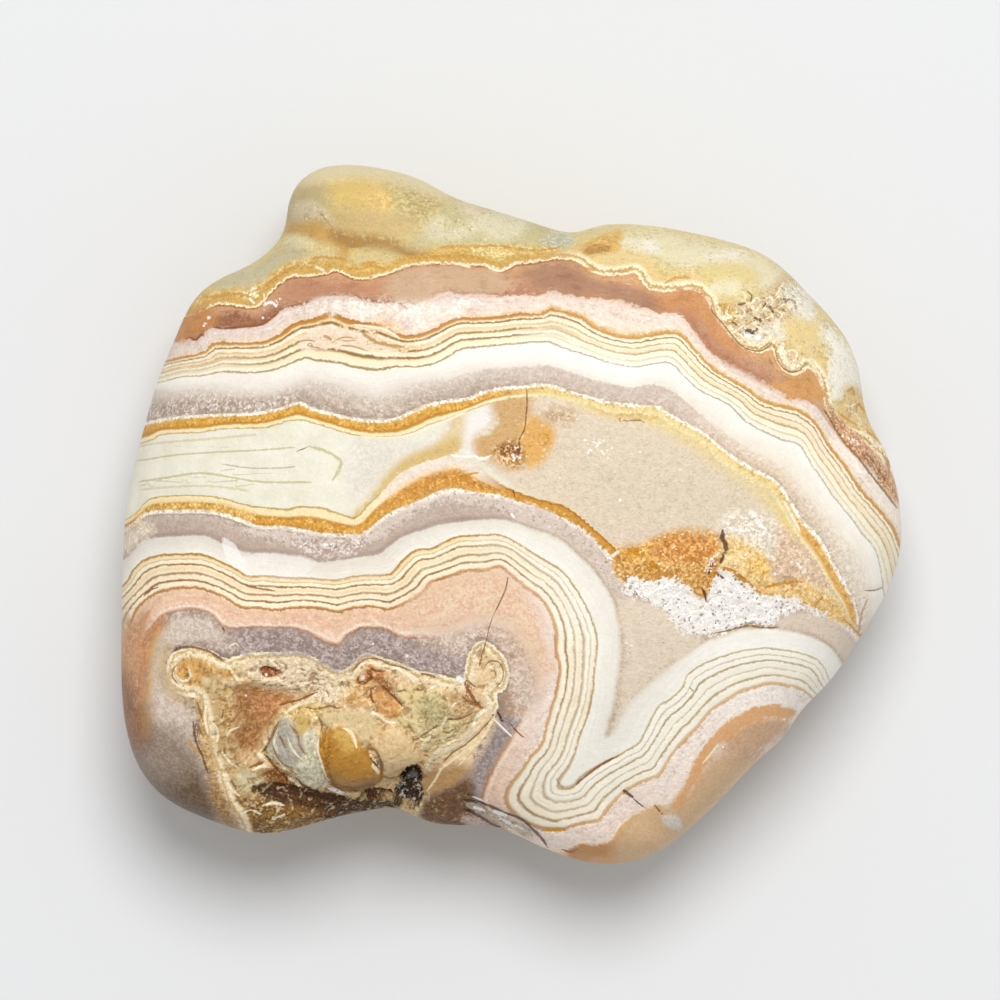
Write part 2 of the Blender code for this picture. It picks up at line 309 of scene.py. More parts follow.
def layers(at):
    """Each place's layer, how many pixels wide its band is, and how far along the band it is."""
    gaps, ways, beyond = [], [], []
    for contours, far in ((ABOVE, -FAR), (BELOW, FAR)):
        for contour in contours:
            path = smooth_path(contour)
            gap, _, way = offset_from(at, path)
            gaps.append(gap)
            ways.append(way)
            around = ((FAR, path[-1][1]), (FAR, far), (-FAR, far), (-FAR, path[0][1]))
            beyond.append(inside(at, np.vstack((path, around))))
    width = gaps[0] + gaps[len(ABOVE)]
    layer = 1 - 2 * gaps[0] / width
    width, along = width / 2, ways[0].copy()
    for sign, start, count in ((1, 0, len(ABOVE)), (-1, len(ABOVE), len(BELOW))):
        for step in range(count):
            past = beyond[start + step]
            outer = min(step + 1, count - 1)
            gap = gaps[start + step][past]
            last = step == count - 1
            span = np.full(len(gap), RIM_STEP) if last else gap + gaps[start + outer][past]
            share = gap / np.maximum(span, 1e-6)
            layer[past] = sign * (step + 1 + share)
            width[past] = span
            ways_here, ways_beyond = ways[start + step][past], ways[start + outer][past]
            along[past] = ways_here + (ways_beyond - ways_here) * np.minimum(share, 1)
    return layer, width, along


# Patches of colour, the lowest first: colour, flecks' colour, how wide the edge is softened and
# made ragged in pixels, strength, and outline with two numbers to a point. These lie on the bands.
BAND_PATCHES = {
    "left pale": ((232, 216, 194), (240, 226, 206), 8, 5, 0.8, (
        116,540, 134,528, 150,524, 152,534, 134,548, 116,562)),
    "rosy brown": ((200, 148, 116), (180, 126, 96), 8, 8, 0.7, (
        272,296, 286,282, 310,280, 345,282, 388,280, 392,296, 350,296, 300,300)),
    "pale brown": ((208, 178, 146), (196, 160, 128), 8, 5, 0.9, (
        390,278, 412,266, 450,264, 500,272, 514,288, 480,296, 446,292, 426,304, 404,306, 388,298)),
    "mauve brown": ((178, 138, 112), (160, 118, 92), 8, 8, 0.7, (
        520,268, 570,262, 600,278, 645,290, 668,306, 650,308, 600,298, 540,292)),
    "orange shoulder": ((214, 158, 106), (190, 130, 84), 7, 9, 0.85, (
        660,294, 696,292, 712,304, 726,328, 742,346, 738,356, 716,344, 700,322, 686,312, 664,308)),
    "dark seam": ((164, 110, 76), (180, 128, 94), 4, 4, 0.6, (
        688,316, 702,330, 716,348, 736,360, 764,376, 778,388, 760,384, 730,368, 708,350, 694,334)),
    "orange end": ((222, 172, 112), (200, 144, 88), 5, 9, 0.85, (
        770,384, 796,378, 812,372, 822,390, 824,410, 810,400, 790,398)),
    "dark right end": ((192, 142, 110), (226, 186, 144), 3, 6, 0.95, (
        828,404, 842,420, 857,434, 873,450, 890,476, 902,502, 894,500, 874,472, 853,452, 838,434)),
    "dark left end": ((182, 130, 96), (138, 88, 60), 4, 7, 0.9, (
        216,316, 238,314, 258,316, 272,306, 280,308, 266,321, 246,326, 216,327)),
    "orange left end": ((208, 152, 92), (190, 126, 70), 5, 5, 0.9, (
        178,322, 192,312, 210,308, 214,322, 200,334, 176,342)),
    "white rosy": ((238, 226, 212), (248, 242, 232), 5, 5, 0.7, (
        300,308, 340,300, 400,306, 430,304, 480,300, 470,312, 440,320, 416,330, 396,318, 350,318, 310,314)),
    "orange drip": ((226, 178, 120), (246, 222, 190), 3, 7, 0.65, (
        372,322, 388,318, 396,322, 404,332, 392,334, 378,328)),
    "rosy lens": ((244, 230, 212), (232, 206, 172), 3, 8, 0.95, (
        298,340, 318,328, 340,328, 362,334, 384,344, 410,350, 396,354, 360,350, 326,350, 300,350)),
    "lens stain": ((222, 176, 118), (246, 226, 192), 3, 7, 0.8, (
        366,331, 376,333, 390,340, 408,344, 424,347, 412,350, 392,345, 374,339)),
    "left gold": ((226, 184, 98), (238, 210, 144), 4, 4, 0.6, (
        134,513, 150,503, 180,500, 220,502, 256,512, 250,521, 220,512, 180,509, 150,510, 134,524)),
    "left mauve": ((174, 152, 138), (224, 212, 202), 7, 7, 0.75, (
        140,404, 200,396, 256,398, 292,392, 296,402, 258,410, 200,412, 140,420)),
    "mid mauve": ((204, 184, 167), (218, 201, 185), 8, 6, 0.6, (
        330,396, 356,402, 390,404, 430,394, 432,402, 400,414, 360,418, 326,408)),
    "lower sugar": ((230, 216, 206), (206, 188, 176), 5, 6, 0.75, (
        250,527, 290,530, 330,535, 362,535, 384,520, 410,506, 440,495, 480,495, 520,503, 556,516, 586,534,
        608,560, 620,584, 612,590, 596,562, 576,542, 548,528, 510,516, 476,504, 440,504, 410,516, 384,536,
        362,548, 330,550, 290,544, 250,536)),
    "crust grey": ((190, 170, 158), (222, 210, 202), 6, 6, 0.8, (
        300,540, 330,544, 362,542, 356,554, 326,560, 300,553)),
    "wedge": ((231, 217, 197), (220, 204, 182), 6, 4, 0.9, (
        618,600, 660,606, 684,632, 704,640, 660,676, 628,706, 612,734, 620,690, 624,650)),
    "mauve wedge": ((230, 214, 197), (218, 200, 182), 4, 4, 0.9, (
        774,622, 786,614, 806,611, 826,616, 844,630, 856,650, 846,660, 826,640, 800,630, 776,628)),
    "salmon": ((244, 220, 190), (218, 174, 146), 14, 9, 0.9, (
        404,604, 440,584, 500,572, 535,606, 552,660, 540,690, 520,690, 516,655, 500,625, 470,622, 440,630,
        416,624)),
    "mauve field": ((204, 182, 166), (222, 204, 188), 12, 10, 0.9, (
        416,636, 440,632, 474,626, 504,630, 530,664, 536,700, 516,716, 508,690, 512,664, 496,640, 474,640,
        462,660, 440,650)),
    "purple quartz": ((160, 142, 138), (190, 172, 166), 5, 10, 0.9, (
        232,634, 260,630, 300,632, 330,648, 352,642, 376,631, 404,640, 430,652, 462,660, 462,678, 430,672,
        400,662, 370,652, 352,664, 338,671, 318,660, 290,653, 240,654, 228,646)),
    "purple strip": ((154, 138, 134), (180, 168, 166), 4, 5, 0.95, (
        496,714, 516,722, 508,740, 494,762, 482,786, 470,798, 462,790, 470,768, 480,748, 490,730)),
    "beige corner": ((250, 226, 186), (236, 204, 160), 5, 8, 0.9, (
        428,764, 444,750, 458,744, 470,732, 478,718, 488,710, 494,716, 488,732, 480,748, 470,764, 458,774,
        440,778)),
    "corner tan": ((200, 160, 108), (172, 132, 84), 6, 6, 0.95, (
        424,774, 440,768, 458,766, 468,772, 460,784, 446,792, 430,796, 422,790)),
    "lilac": ((205, 188, 174), (220, 204, 192), 8, 6, 0.8, (
        146,640, 168,616, 200,614, 224,630, 228,650, 204,646, 176,648, 166,668, 180,700, 200,714, 198,740,
        206,770, 196,792, 150,760, 142,700)),
    # Painted shade: the lower-left lobe's brown darkened where it turns away from the light
    "brown lobe in painted shade": ((102, 82, 62), (128, 106, 84), 12, 9, 0.95, (
        120,716, 142,726, 170,744, 196,762, 210,790, 226,840, 180,840, 130,800)),
    "lobe glow": ((150, 132, 118), (166, 148, 132), 12, 8, 0.55, (
        142,736, 170,728, 188,748, 182,776, 158,780, 140,762)),
    "left edge": ((172, 128, 84), (196, 156, 112), 12, 7, 0.6, (
        100,608, 120,608, 136,614, 136,640, 131,660, 128,700, 100,700)),
    "ochre halo": ((204, 172, 118), (192, 152, 96), 6, 5, 0.8, (
        142,640, 156,626, 164,622, 156,640, 150,668, 148,700, 146,730, 134,728, 138,690)),
    "tan halo": ((208, 184, 146), (196, 168, 126), 5, 4, 0.6, (
        168,646, 160,668, 168,690, 184,702, 196,706, 188,694, 172,686, 168,670)),
    "left flush": ((194, 144, 102), (212, 166, 122), 8, 6, 0.8, (
        120,640, 134,620, 150,608, 150,622, 140,644, 138,690, 134,730, 120,720)),
    "red edge": ((186, 122, 74), (212, 154, 104), 3, 6, 0.35, (
        142,640, 152,624, 162,617, 164,622, 154,632, 146,652, 144,690, 138,690, 138,656)),
    "edge brown": ((140, 98, 66), (164, 120, 84), 10, 6, 0.8, (
        108,664, 126,676, 138,700, 146,724, 142,744, 116,742, 104,700)),
    "lobe ochre": ((206, 154, 96), (190, 132, 78), 3, 4, 0.9, (
        568,853, 580,845, 600,844, 616,838, 622,826, 636,832, 624,850, 600,858, 574,860)),
    "lobe tan": ((226, 194, 154), (202, 166, 126), 8, 8, 0.9, (
        620,838, 634,816, 656,808, 680,800, 700,770, 730,750, 760,756, 730,790, 690,830, 650,858, 616,860)),
    "lobe rosy": ((222, 188, 156), (196, 154, 118), 7, 7, 0.85, (
        724,734, 740,722, 770,716, 790,718, 780,738, 750,756, 728,754)),
    "lobe orange": ((232, 184, 136), (214, 160, 108), 2, 5, 0.95, (
        676,804, 684,786, 692,768, 700,752, 711,737, 722,725, 736,716, 752,709, 770,705, 797,710, 788,719,
        770,717, 752,722, 738,731, 724,741, 712,752, 704,766, 696,782, 687,797, 680,806)),
}  # fmt: skip

# Facets in the white band at the lower left
FACETS = {
    "bright facet": ((252, 250, 246), (252, 250, 246), 1, 1, 0.6, (
        222,538, 236,545, 241,556, 253,566, 250,577, 238,570, 226,558)),
    "white facet": ((249, 247, 244), (249, 247, 244), 2, 1, 0.3, (
        252,554, 300,555, 318,563, 308,578, 268,579, 246,570)),
    "beige facet": ((229, 220, 204), (229, 220, 204), 2, 1, 0.3, (
        318,563, 345,560, 388,555, 396,569, 370,578, 309,580)),
}  # fmt: skip

# The middle of the fortification
MIDDLE_PATCHES = {
    "grey cloud": ((223, 218, 206), (233, 227, 215), 12, 6, 0.9, (
        350,440, 420,440, 470,410, 500,404, 490,455, 440,456, 390,480, 350,505)),
    "sand": ((230, 215, 193), (218, 201, 178), 8, 9, 1.0, (
        492,392, 488,430, 482,452, 500,478, 560,510, 600,540, 640,600, 900,680, 930,560, 880,400, 700,370,
        560,380)),
    "yellow brink": ((236, 216, 156), (228, 200, 130), 5, 4, 0.8, (
        560,392, 600,400, 650,408, 690,430, 740,468, 780,500, 800,540, 792,542, 770,508, 735,480, 690,447,
        655,424, 620,416, 590,408)),
    "ochre brink": ((216, 176, 84), (226, 190, 108), 3, 3, 0.9, (
        592,403, 612,407, 640,408, 657,408, 662,414, 640,415, 612,413)),
    "olive sand": ((226, 213, 190), (214, 199, 175), 20, 10, 0.7, (
        590,432, 660,440, 720,470, 760,500, 748,526, 700,524, 640,520, 600,500, 576,468)),
    "rosy sand": ((218, 188, 160), (234, 208, 180), 8, 10, 0.9, (
        772,530, 796,540, 818,566, 834,590, 812,588, 790,580, 770,576, 766,548)),
    "pale sand": ((228, 216, 196), (239, 230, 214), 7, 9, 0.3, (
        724,520, 748,514, 772,520, 774,540, 766,560, 748,548, 730,536)),
    "tan mist": ((216, 196, 150), (226, 206, 166), 5, 10, 0.85, (
        455,412, 470,408, 468,424, 464,446, 452,450, 440,446, 448,432)),
    "white mist": ((240, 237, 233), (234, 228, 220), 5, 12, 0.75, (
        470,412, 498,406, 496,424, 480,434, 478,448, 480,458, 462,456, 466,440, 468,424)),
    "crack stain": ((216, 178, 124), (200, 158, 104), 5, 11, 1.0, (
        496,396, 528,392, 526,430, 520,440, 520,464, 506,466, 494,458, 480,458, 476,440, 496,426)),
    "crack ochre": ((234, 188, 112), (214, 158, 84), 3, 13, 1.0, (
        527,420, 540,420, 552,432, 550,446, 540,462, 526,466, 519,460, 522,438)),
    "crack grains": ((168, 108, 44), (232, 200, 150), 3, 5, 0.9, (
        496,450, 512,443, 520,448, 521,464, 510,464, 500,458)),
    "brown cloudlet": ((196, 166, 130), (220, 200, 170), 5, 6, 0.6, (
        544,414, 560,410, 574,414, 570,421, 552,421)),
    "lower fringe": ((222, 196, 138), (210, 176, 108), 4, 3, 0.9, (
        340,520, 352,515, 366,503, 380,486, 394,470, 410,458, 440,446, 456,440, 458,450, 440,459, 412,468,
        396,478, 384,492, 368,508, 352,524)),
    "rust": ((212, 150, 66), (232, 188, 104), 4, 7, 1.0, (
        612,552, 630,549, 642,546, 662,538, 680,533, 702,533, 716,538, 722,548, 720,560, 712,574, 704,588,
        690,592, 682,580, 660,576, 644,582, 624,580, 616,568)),
    "rust core": ((212, 140, 64), (232, 180, 112), 6, 8, 0.9, (
        654,548, 668,538, 690,534, 714,540, 718,552, 712,566, 700,576, 684,566, 664,560)),
    "yellow flow": ((238, 200, 126), (244, 220, 172), 4, 6, 1.0, (
        728,538, 744,544, 760,554, 768,566, 766,582, 780,584, 800,582, 822,590, 836,600, 850,622, 842,624,
        824,612, 800,600, 768,598, 754,590, 748,574, 730,568, 724,556)),
    "yellow core": ((234, 184, 96), (242, 208, 138), 3, 5, 0.7, (
        756,556, 764,562, 768,576, 766,586, 782,584, 776,592, 764,592, 756,582, 752,568)),
}  # fmt: skip

# The rim over the bands, with its knob, curls and chips
RIM_PATCHES = {
    "knob": ((215, 194, 132), (224, 206, 150), 5, 8, 1.0, (
        286,240, 284,210, 296,184, 324,164, 370,162, 412,172, 456,196, 446,214, 436,224, 400,240, 370,240,
        338,238)),
    "knob amber": ((220, 192, 121), (210, 180, 109), 14, 12, 0.7, (
        322,190, 336,177, 362,176, 388,184, 396,200, 384,214, 364,216, 336,206)),
    "knob tan": ((216, 190, 134), (194, 168, 116), 7, 10, 0.85, (
        336,212, 366,214, 398,214, 420,218, 400,238, 360,238, 338,234, 326,218)),
    "knob right": ((186, 168, 116), (204, 187, 134), 12, 6, 0.9, (
        398,172, 420,178, 440,194, 456,212, 440,226, 410,218, 394,196)),
    "knob shade": ((198, 180, 134), (184, 164, 120), 8, 9, 0.85, (
        286,218, 290,200, 304,184, 322,186, 324,200, 316,210, 300,216)),
    "knob stain": ((216, 184, 116), (224, 192, 124), 4, 6, 0.25, (
        370,198, 380,194, 386,200, 384,210, 376,206)),
    "knob frost": ((228, 218, 190), (196, 178, 136), 3, 8, 0.9, (
        294,208, 306,204, 318,206, 330,220, 338,236, 328,232, 316,222, 300,222)),
    "knob brim": ((226, 214, 176), (214, 198, 150), 6, 3, 0.7, (
        300,180, 330,165, 372,163, 412,173, 452,194, 440,196, 404,182, 360,174, 326,178)),
    "saddle": ((208, 172, 104), (190, 148, 80), 6, 8, 0.95, (
        288,228, 318,222, 340,235, 380,240, 410,246, 440,254, 474,254, 476,261, 440,260, 400,258, 372,251,
        350,252, 344,262, 330,258, 306,244, 290,238)),
    # Painted shadow: a dark ochre band along the crease under the knob
    "knob under": ((178, 142, 86), (162, 124, 68), 4, 8, 0.85, (
        332,233, 350,236, 368,238, 392,241, 412,247, 430,252, 410,254, 384,250, 362,248, 344,245)),
    "foot": ((232, 222, 176), (222, 206, 154), 3, 3, 0.9, (
        284,242, 292,237, 306,240, 318,248, 312,253, 298,248, 288,248)),
    "foot tan": ((222, 204, 152), (212, 190, 132), 5, 4, 0.85, (
        318,246, 332,250, 334,260, 318,258, 306,254)),
    "bowl": ((216, 200, 148), (206, 186, 132), 5, 4, 0.9, (
        354,256, 368,251, 386,252, 400,258, 398,264, 372,261, 352,266)),
    "grey slope": ((204, 195, 158), (190, 180, 144), 5, 8, 0.9, (
        196,302, 214,284, 240,270, 266,260, 288,247, 304,254, 298,262, 274,272, 262,282, 236,288, 214,292)),
    "left ochre": ((216, 178, 104), (230, 200, 138), 4, 7, 0.85, (
        198,300, 218,292, 250,292, 262,286, 274,276, 290,264, 310,262, 312,270, 290,276, 272,290, 262,300,
        240,303, 214,302, 196,310)),
    "left flecks": ((226, 200, 136), (250, 240, 212), 2, 3, 0.9, (
        248,292, 260,290, 264,300, 262,308, 250,306)),
    "green ridge": ((208, 198, 154), (190, 178, 130), 5, 8, 0.95, (
        408,244, 424,232, 438,218, 458,200, 500,210, 540,224, 570,236, 562,248, 520,248, 470,245, 430,247)),
    "ridge white": ((228, 220, 192), (206, 198, 160), 5, 9, 0.55, (
        428,230, 438,220, 446,224, 442,233, 456,230, 476,222, 484,214, 504,214, 524,220, 520,232, 500,238,
        480,230, 456,238, 436,236)),
    "ridge rosy": ((222, 206, 176), (212, 196, 162), 4, 3, 0.8, (
        460,202, 482,207, 478,216, 466,212)),
    "ridge end": ((192, 190, 164), (204, 200, 174), 4, 8, 0.8, (
        546,240, 560,232, 576,237, 568,247, 552,248)),
    "olive strip": ((214, 190, 120), (230, 208, 148), 3, 7, 0.85, (
        474,248, 520,249, 558,252, 562,257, 530,260, 516,260, 504,266, 488,262, 474,256)),
    "rim cloud": ((236, 229, 198), (218, 206, 164), 8, 9, 0.9, (
        622,240, 640,232, 700,242, 760,256, 790,280, 764,290, 730,276, 700,272, 664,262, 634,256)),
    "rim white": ((244, 241, 230), (230, 222, 194), 4, 8, 0.85, (
        622,244, 640,247, 650,240, 656,250, 640,252, 624,248)),
    "rim white two": ((242, 238, 222), (230, 222, 194), 5, 8, 0.85, (
        710,256, 738,252, 742,262, 726,266, 712,262)),
    "rim white three": ((236, 232, 202), (224, 212, 170), 6, 8, 0.85, (
        712,280, 734,276, 742,288, 724,296, 708,290)),
    "rim olive": ((230, 215, 158), (216, 194, 130), 5, 8, 0.8, (
        700,268, 736,264, 756,276, 750,284, 734,276, 706,278)),
    "rim tan": ((232, 216, 164), (222, 190, 124), 6, 8, 0.85, (
        598,254, 622,250, 650,258, 660,272, 652,284, 636,268, 610,266)),
    "curls": ((238, 224, 186), (184, 142, 82), 4, 5, 0.95, (
        714,304, 724,300, 742,302, 756,296, 772,290, 784,278, 800,284, 808,300, 798,312, 786,322, 782,336,
        790,350, 806,352, 812,362, 802,372, 788,372, 778,356, 766,350, 750,350, 736,340, 722,324)),
    "curl ochre": ((220, 184, 108), (236, 212, 152), 3, 4, 0.85, (
        720,306, 730,306, 734,314, 730,328, 734,336, 722,322)),
    "curl white": ((246, 242, 230), (220, 208, 184), 3, 5, 0.9, (
        742,334, 760,330, 784,322, 784,340, 770,342, 758,348, 746,342)),
    "rim ochre": ((240, 222, 172), (222, 192, 126), 6, 9, 0.9, (
        786,322, 800,316, 818,312, 824,332, 820,352, 802,356, 792,348, 788,336)),
    "edge white": ((240, 236, 222), (228, 220, 196), 4, 5, 0.9, (
        786,288, 802,288, 814,302, 812,317, 800,314, 790,302)),
    "flank white": ((250, 249, 240), (236, 230, 206), 6, 9, 0.95, (
        824,326, 842,340, 862,366, 866,392, 850,392, 844,402, 828,402, 824,380, 830,360)),
    "flank tan": ((242, 220, 168), (222, 184, 120), 5, 9, 0.95, (
        832,408, 846,400, 848,388, 862,396, 872,416, 880,432, 900,466, 884,466, 866,444, 848,428)),
    "flank ochre": ((222, 172, 88), (230, 192, 120), 4, 4, 0.9, (
        862,434, 880,436, 890,450, 876,450)),
}  # fmt: skip

RIM_CHIPS = {
    "amber chip": ((206, 166, 92), (222, 180, 100), 4, 8, 0.9, (
        576,257, 582,246, 594,238, 612,230, 622,232, 620,246, 608,253, 592,256)),
    "amber core": ((178, 130, 62), (186, 136, 66), 3, 7, 0.9, (
        584,250, 592,244, 606,244, 612,250, 602,254, 588,254)),
}  # fmt: skip

# The host rock in the hollow, then its stones, then what lies on them
HOST_PATCHES = {
    "cream strip": ((216, 190, 140), (182, 147, 96), 4, 6, 1.0, (
        200,684, 216,676, 226,690, 226,716, 238,740, 242,764, 262,776, 262,790, 240,802, 224,800, 212,770,
        206,740, 202,712)),
    "strip shade": ((184, 146, 90), (210, 176, 124), 4, 5, 0.8, (
        226,700, 240,702, 244,724, 240,742, 226,730, 222,712)),
    "dish": ((162, 112, 62), (184, 136, 90), 6, 8, 0.95, (
        234,690, 256,684, 284,688, 300,694, 290,704, 276,714, 264,734, 258,748, 244,756, 236,742, 240,716)),
    "dish orange": ((186, 126, 76), (206, 152, 102), 6, 5, 0.6, (
        258,698, 286,694, 300,696, 284,706, 270,716, 256,716)),
    "pale roof": ((241, 219, 184), (248, 233, 204), 5, 5, 0.95, (
        244,664, 262,658, 290,656, 320,666, 344,680, 344,704, 312,706, 300,702, 316,692, 290,690, 264,684,
        250,676)),
    "ochre ledge": ((216, 182, 112), (236, 214, 156), 4, 5, 0.9, (
        284,712, 304,704, 330,708, 318,714, 318,722, 304,724, 292,718)),
    "chips": ((224, 176, 114), (236, 206, 160), 4, 6, 0.95, (
        342,700, 352,682, 362,668, 378,664, 392,676, 404,694, 402,714, 388,718, 372,708, 350,706)),
    "chip brown": ((170, 122, 76), (194, 148, 98), 3, 4, 0.85, (
        378,678, 388,682, 398,694, 404,704, 398,708, 388,696, 380,686)),
    "green slope": ((206, 184, 132), (228, 210, 160), 5, 7, 1.0, (
        398,690, 426,688, 454,696, 478,712, 474,730, 450,750, 432,756, 424,746, 412,732, 398,722)),
    "bright slope": ((236, 220, 168), (214, 188, 132), 4, 6, 0.9, (
        398,694, 414,690, 424,700, 420,716, 424,726, 408,726, 400,712)),
    "slope green": ((182, 168, 118), (200, 186, 138), 6, 5, 0.8, (
        424,700, 444,702, 452,712, 440,722, 426,722)),
    "slope rosy": ((196, 160, 110), (212, 180, 134), 5, 4, 0.8, (
        446,694, 462,694, 478,708, 470,716, 456,714)),
    "rocky shade": ((118, 82, 38), (164, 126, 70), 6, 7, 0.85, (
        260,772, 276,768, 292,774, 306,788, 330,792, 352,800, 330,804, 296,798, 268,792)),
    "pale grit": ((214, 206, 172), (196, 178, 132), 4, 5, 0.85, (
        240,774, 256,772, 258,784, 246,792, 238,786)),
    # Sill, sill brown and mid sill: the rock's browns darkened with painted shade along the bottom edge
    "sill": ((124, 88, 38), (162, 126, 68), 4, 6, 0.95, (
        218,800, 246,798, 270,798, 300,804, 330,812, 330,822, 290,840, 232,840)),
    "sill brown": ((132, 94, 46), (166, 128, 76), 5, 5, 0.85, (
        214,798, 228,798, 240,814, 256,834, 230,836, 212,812)),
    "mid sill": ((62, 42, 20), (100, 74, 40), 4, 5, 0.9, (
        330,804, 352,798, 368,798, 398,800, 396,820, 330,824)),
    "right host": ((234, 200, 148), (214, 174, 116), 4, 5, 0.9, (
        420,756, 436,750, 450,758, 452,772, 440,790, 430,800, 420,790, 416,770)),
}  # fmt: skip

HOST_SHAPES = {
    "orb disc": ((218, 176, 108), (206, 156, 86), 3, 3, 1.0, (
        166,672, 170,656, 182,649, 200,651, 218,660, 232,666, 238,680, 222,676, 204,676, 196,688, 182,691,
        170,686)),
    "red pit": ((146, 78, 40), (196, 134, 96), 2, 3, 1.0, (
        258,671, 264,667, 272,668, 280,673, 272,678, 263,677)),
    "chip facet": ((222, 166, 100), (206, 142, 76), 2, 3, 0.95, (
        372,696, 380,690, 392,700, 400,710, 396,716, 384,714, 376,704)),
    "chip rust": ((178, 106, 54), (210, 152, 104), 2, 4, 0.9, (
        362,672, 372,667, 384,672, 380,680, 368,680)),
    "roof lobe": ((224, 204, 160), (206, 182, 132), 4, 4, 0.95, (
        320,716, 330,709, 352,710, 374,712, 374,734, 364,744, 354,732, 340,724, 326,728)),
    "cream dome": ((236, 211, 166), (210, 176, 124), 3, 4, 1.0, (
        372,740, 384,728, 400,730, 412,742, 420,758, 408,764, 400,774, 386,777, 382,764, 372,752)),
    "grey lump": ((196, 190, 160), (216, 210, 186), 3, 4, 1.0, (
        266,750, 272,732, 284,718, 300,722, 314,728, 319,744, 322,760, 330,780, 326,786, 306,784, 292,768,
        280,762)),
    "amber lump": ((190, 142, 62), (172, 120, 40), 3, 4, 1.0, (
        320,742, 326,730, 342,726, 356,734, 364,748, 378,764, 382,776, 364,788, 344,790, 332,782, 324,766,
        319,752)),
}  # fmt: skip

HOST_DETAILS = {
    "dome foot": ((200, 172, 116), (216, 192, 140), 5, 4, 0.7, (
        386,760, 404,762, 398,776, 386,777)),
    "blue streaks": ((202, 198, 188), (156, 148, 134), 3, 6, 0.9, (
        274,730, 286,720, 300,732, 304,748, 296,760, 282,756, 272,744)),
    "lump olive": ((206, 178, 112), (190, 158, 92), 3, 4, 0.85, (
        294,716, 310,718, 308,730, 300,732)),
    "amber light": ((216, 178, 96), (196, 150, 70), 4, 5, 0.8, (
        330,733, 342,728, 354,734, 362,746, 352,752, 338,746)),
    "amber deep": ((154, 102, 26), (190, 138, 54), 4, 4, 0.85, (
        320,744, 328,734, 336,744, 334,764, 342,782, 332,780, 324,764)),
    # Painted shade: the amber lump's lower side darkened brown
    "amber foot painted shade": ((120, 80, 32), (150, 106, 50), 5, 4, 0.9, (
        330,778, 350,776, 376,774, 372,784, 350,791, 336,786)),
    # The crevice's own dark rock, deepened with painted shade in the recess
    "crevice": ((60, 34, 14), (98, 66, 34), 3, 6, 0.9, (
        252,787, 276,785, 296,788, 316,792, 336,796, 358,801, 364,812, 340,816, 312,812, 286,806, 262,800)),
}  # fmt: skip

# What lies over several zones
SOFT_OVERLAYS = {
    # Brown corner: its own brown darkened with painted shade at the bottom edge
    "brown corner": ((132, 96, 58), (98, 70, 44), 8, 5, 1.0, (
        422,802, 436,793, 452,787, 466,778, 474,796, 466,830, 424,830)),
    "strip edge": ((186, 148, 96), (218, 188, 138), 4, 9, 0.85, (
        196,700, 204,698, 210,730, 218,770, 226,796, 230,806, 216,796, 206,770, 198,730)),
    # Strip foot: the strip's foot darkened with painted shade at the lower left
    "strip foot": ((146, 112, 68), (184, 150, 102), 6, 5, 0.8, (
        207,784, 218,790, 230,804, 246,836, 226,838, 214,812)),
    "rust lower": ((202, 142, 66), (228, 188, 122), 3, 8, 1.0, (
        612,558, 620,566, 644,562, 676,562, 700,560, 716,562, 722,572, 708,596, 698,598, 684,588, 668,579,
        644,585, 622,583)),
    "yellow lower": ((228, 186, 116), (238, 208, 152), 3, 7, 0.85, (
        740,572, 752,570, 772,582, 800,586, 828,598, 846,616, 846,628, 826,615, 800,603, 776,598, 758,592)),
}  # fmt: skip

CRISP_OVERLAYS = {
    "sugar": ((254, 252, 249), (228, 220, 212), 2, 8, 1.0, (
        624,580, 638,578, 652,582, 668,577, 684,586, 694,596, 704,600, 712,588, 718,572, 730,574, 748,584,
        760,594, 790,600, 806,606, 824,614, 800,611, 780,617, 774,627, 748,626, 732,630, 712,634, 696,634,
        682,628, 672,618, 660,606, 642,600, 628,594)),
    # The vug and the deep crevice: their own dark colour with painted shade in the hollows
    "vug": ((44, 28, 18), (88, 66, 48), 2, 3, 1.0, (
        400,776, 404,768, 414,766, 420,774, 418,786, 422,798, 414,808, 402,808, 394,800, 396,788, 402,782)),
    "deep crevice": ((62, 34, 16), (92, 58, 30), 2, 3, 0.95, (
        360,797, 368,789, 384,789, 398,795, 384,799, 370,799)),
    "lip": ((216, 208, 196), (164, 142, 124), 2, 4, 0.95, (
        464,804, 474,805, 486,809, 498,815, 510,819, 522,824, 530,831, 532,838, 520,834, 508,829, 496,824,
        484,817, 472,811)),
    "lip under": ((178, 152, 140), (208, 190, 180), 2, 4, 0.8, (
        464,814, 480,820, 500,830, 530,844, 546,852, 520,852, 480,830, 462,822)),
    "white chip": ((238, 232, 226), (204, 190, 178), 2, 4, 0.9, (
        660,818, 672,814, 682,820, 680,830, 668,828)),
}  # fmt: skip

# The groups of patches in the order that they are laid on, and whether their edges are crisp
GROUPS = {
    "bands": (BAND_PATCHES, False), "facets": (FACETS, True), "middle": (MIDDLE_PATCHES, False),
    "rim": (RIM_PATCHES, False), "rim chips": (RIM_CHIPS, True), "host": (HOST_PATCHES, False),
    "host shapes": (HOST_SHAPES, True), "host details": (HOST_DETAILS, False),
    "over soft": (SOFT_OVERLAYS, False), "over": (CRISP_OVERLAYS, True),
}  # fmt: skip

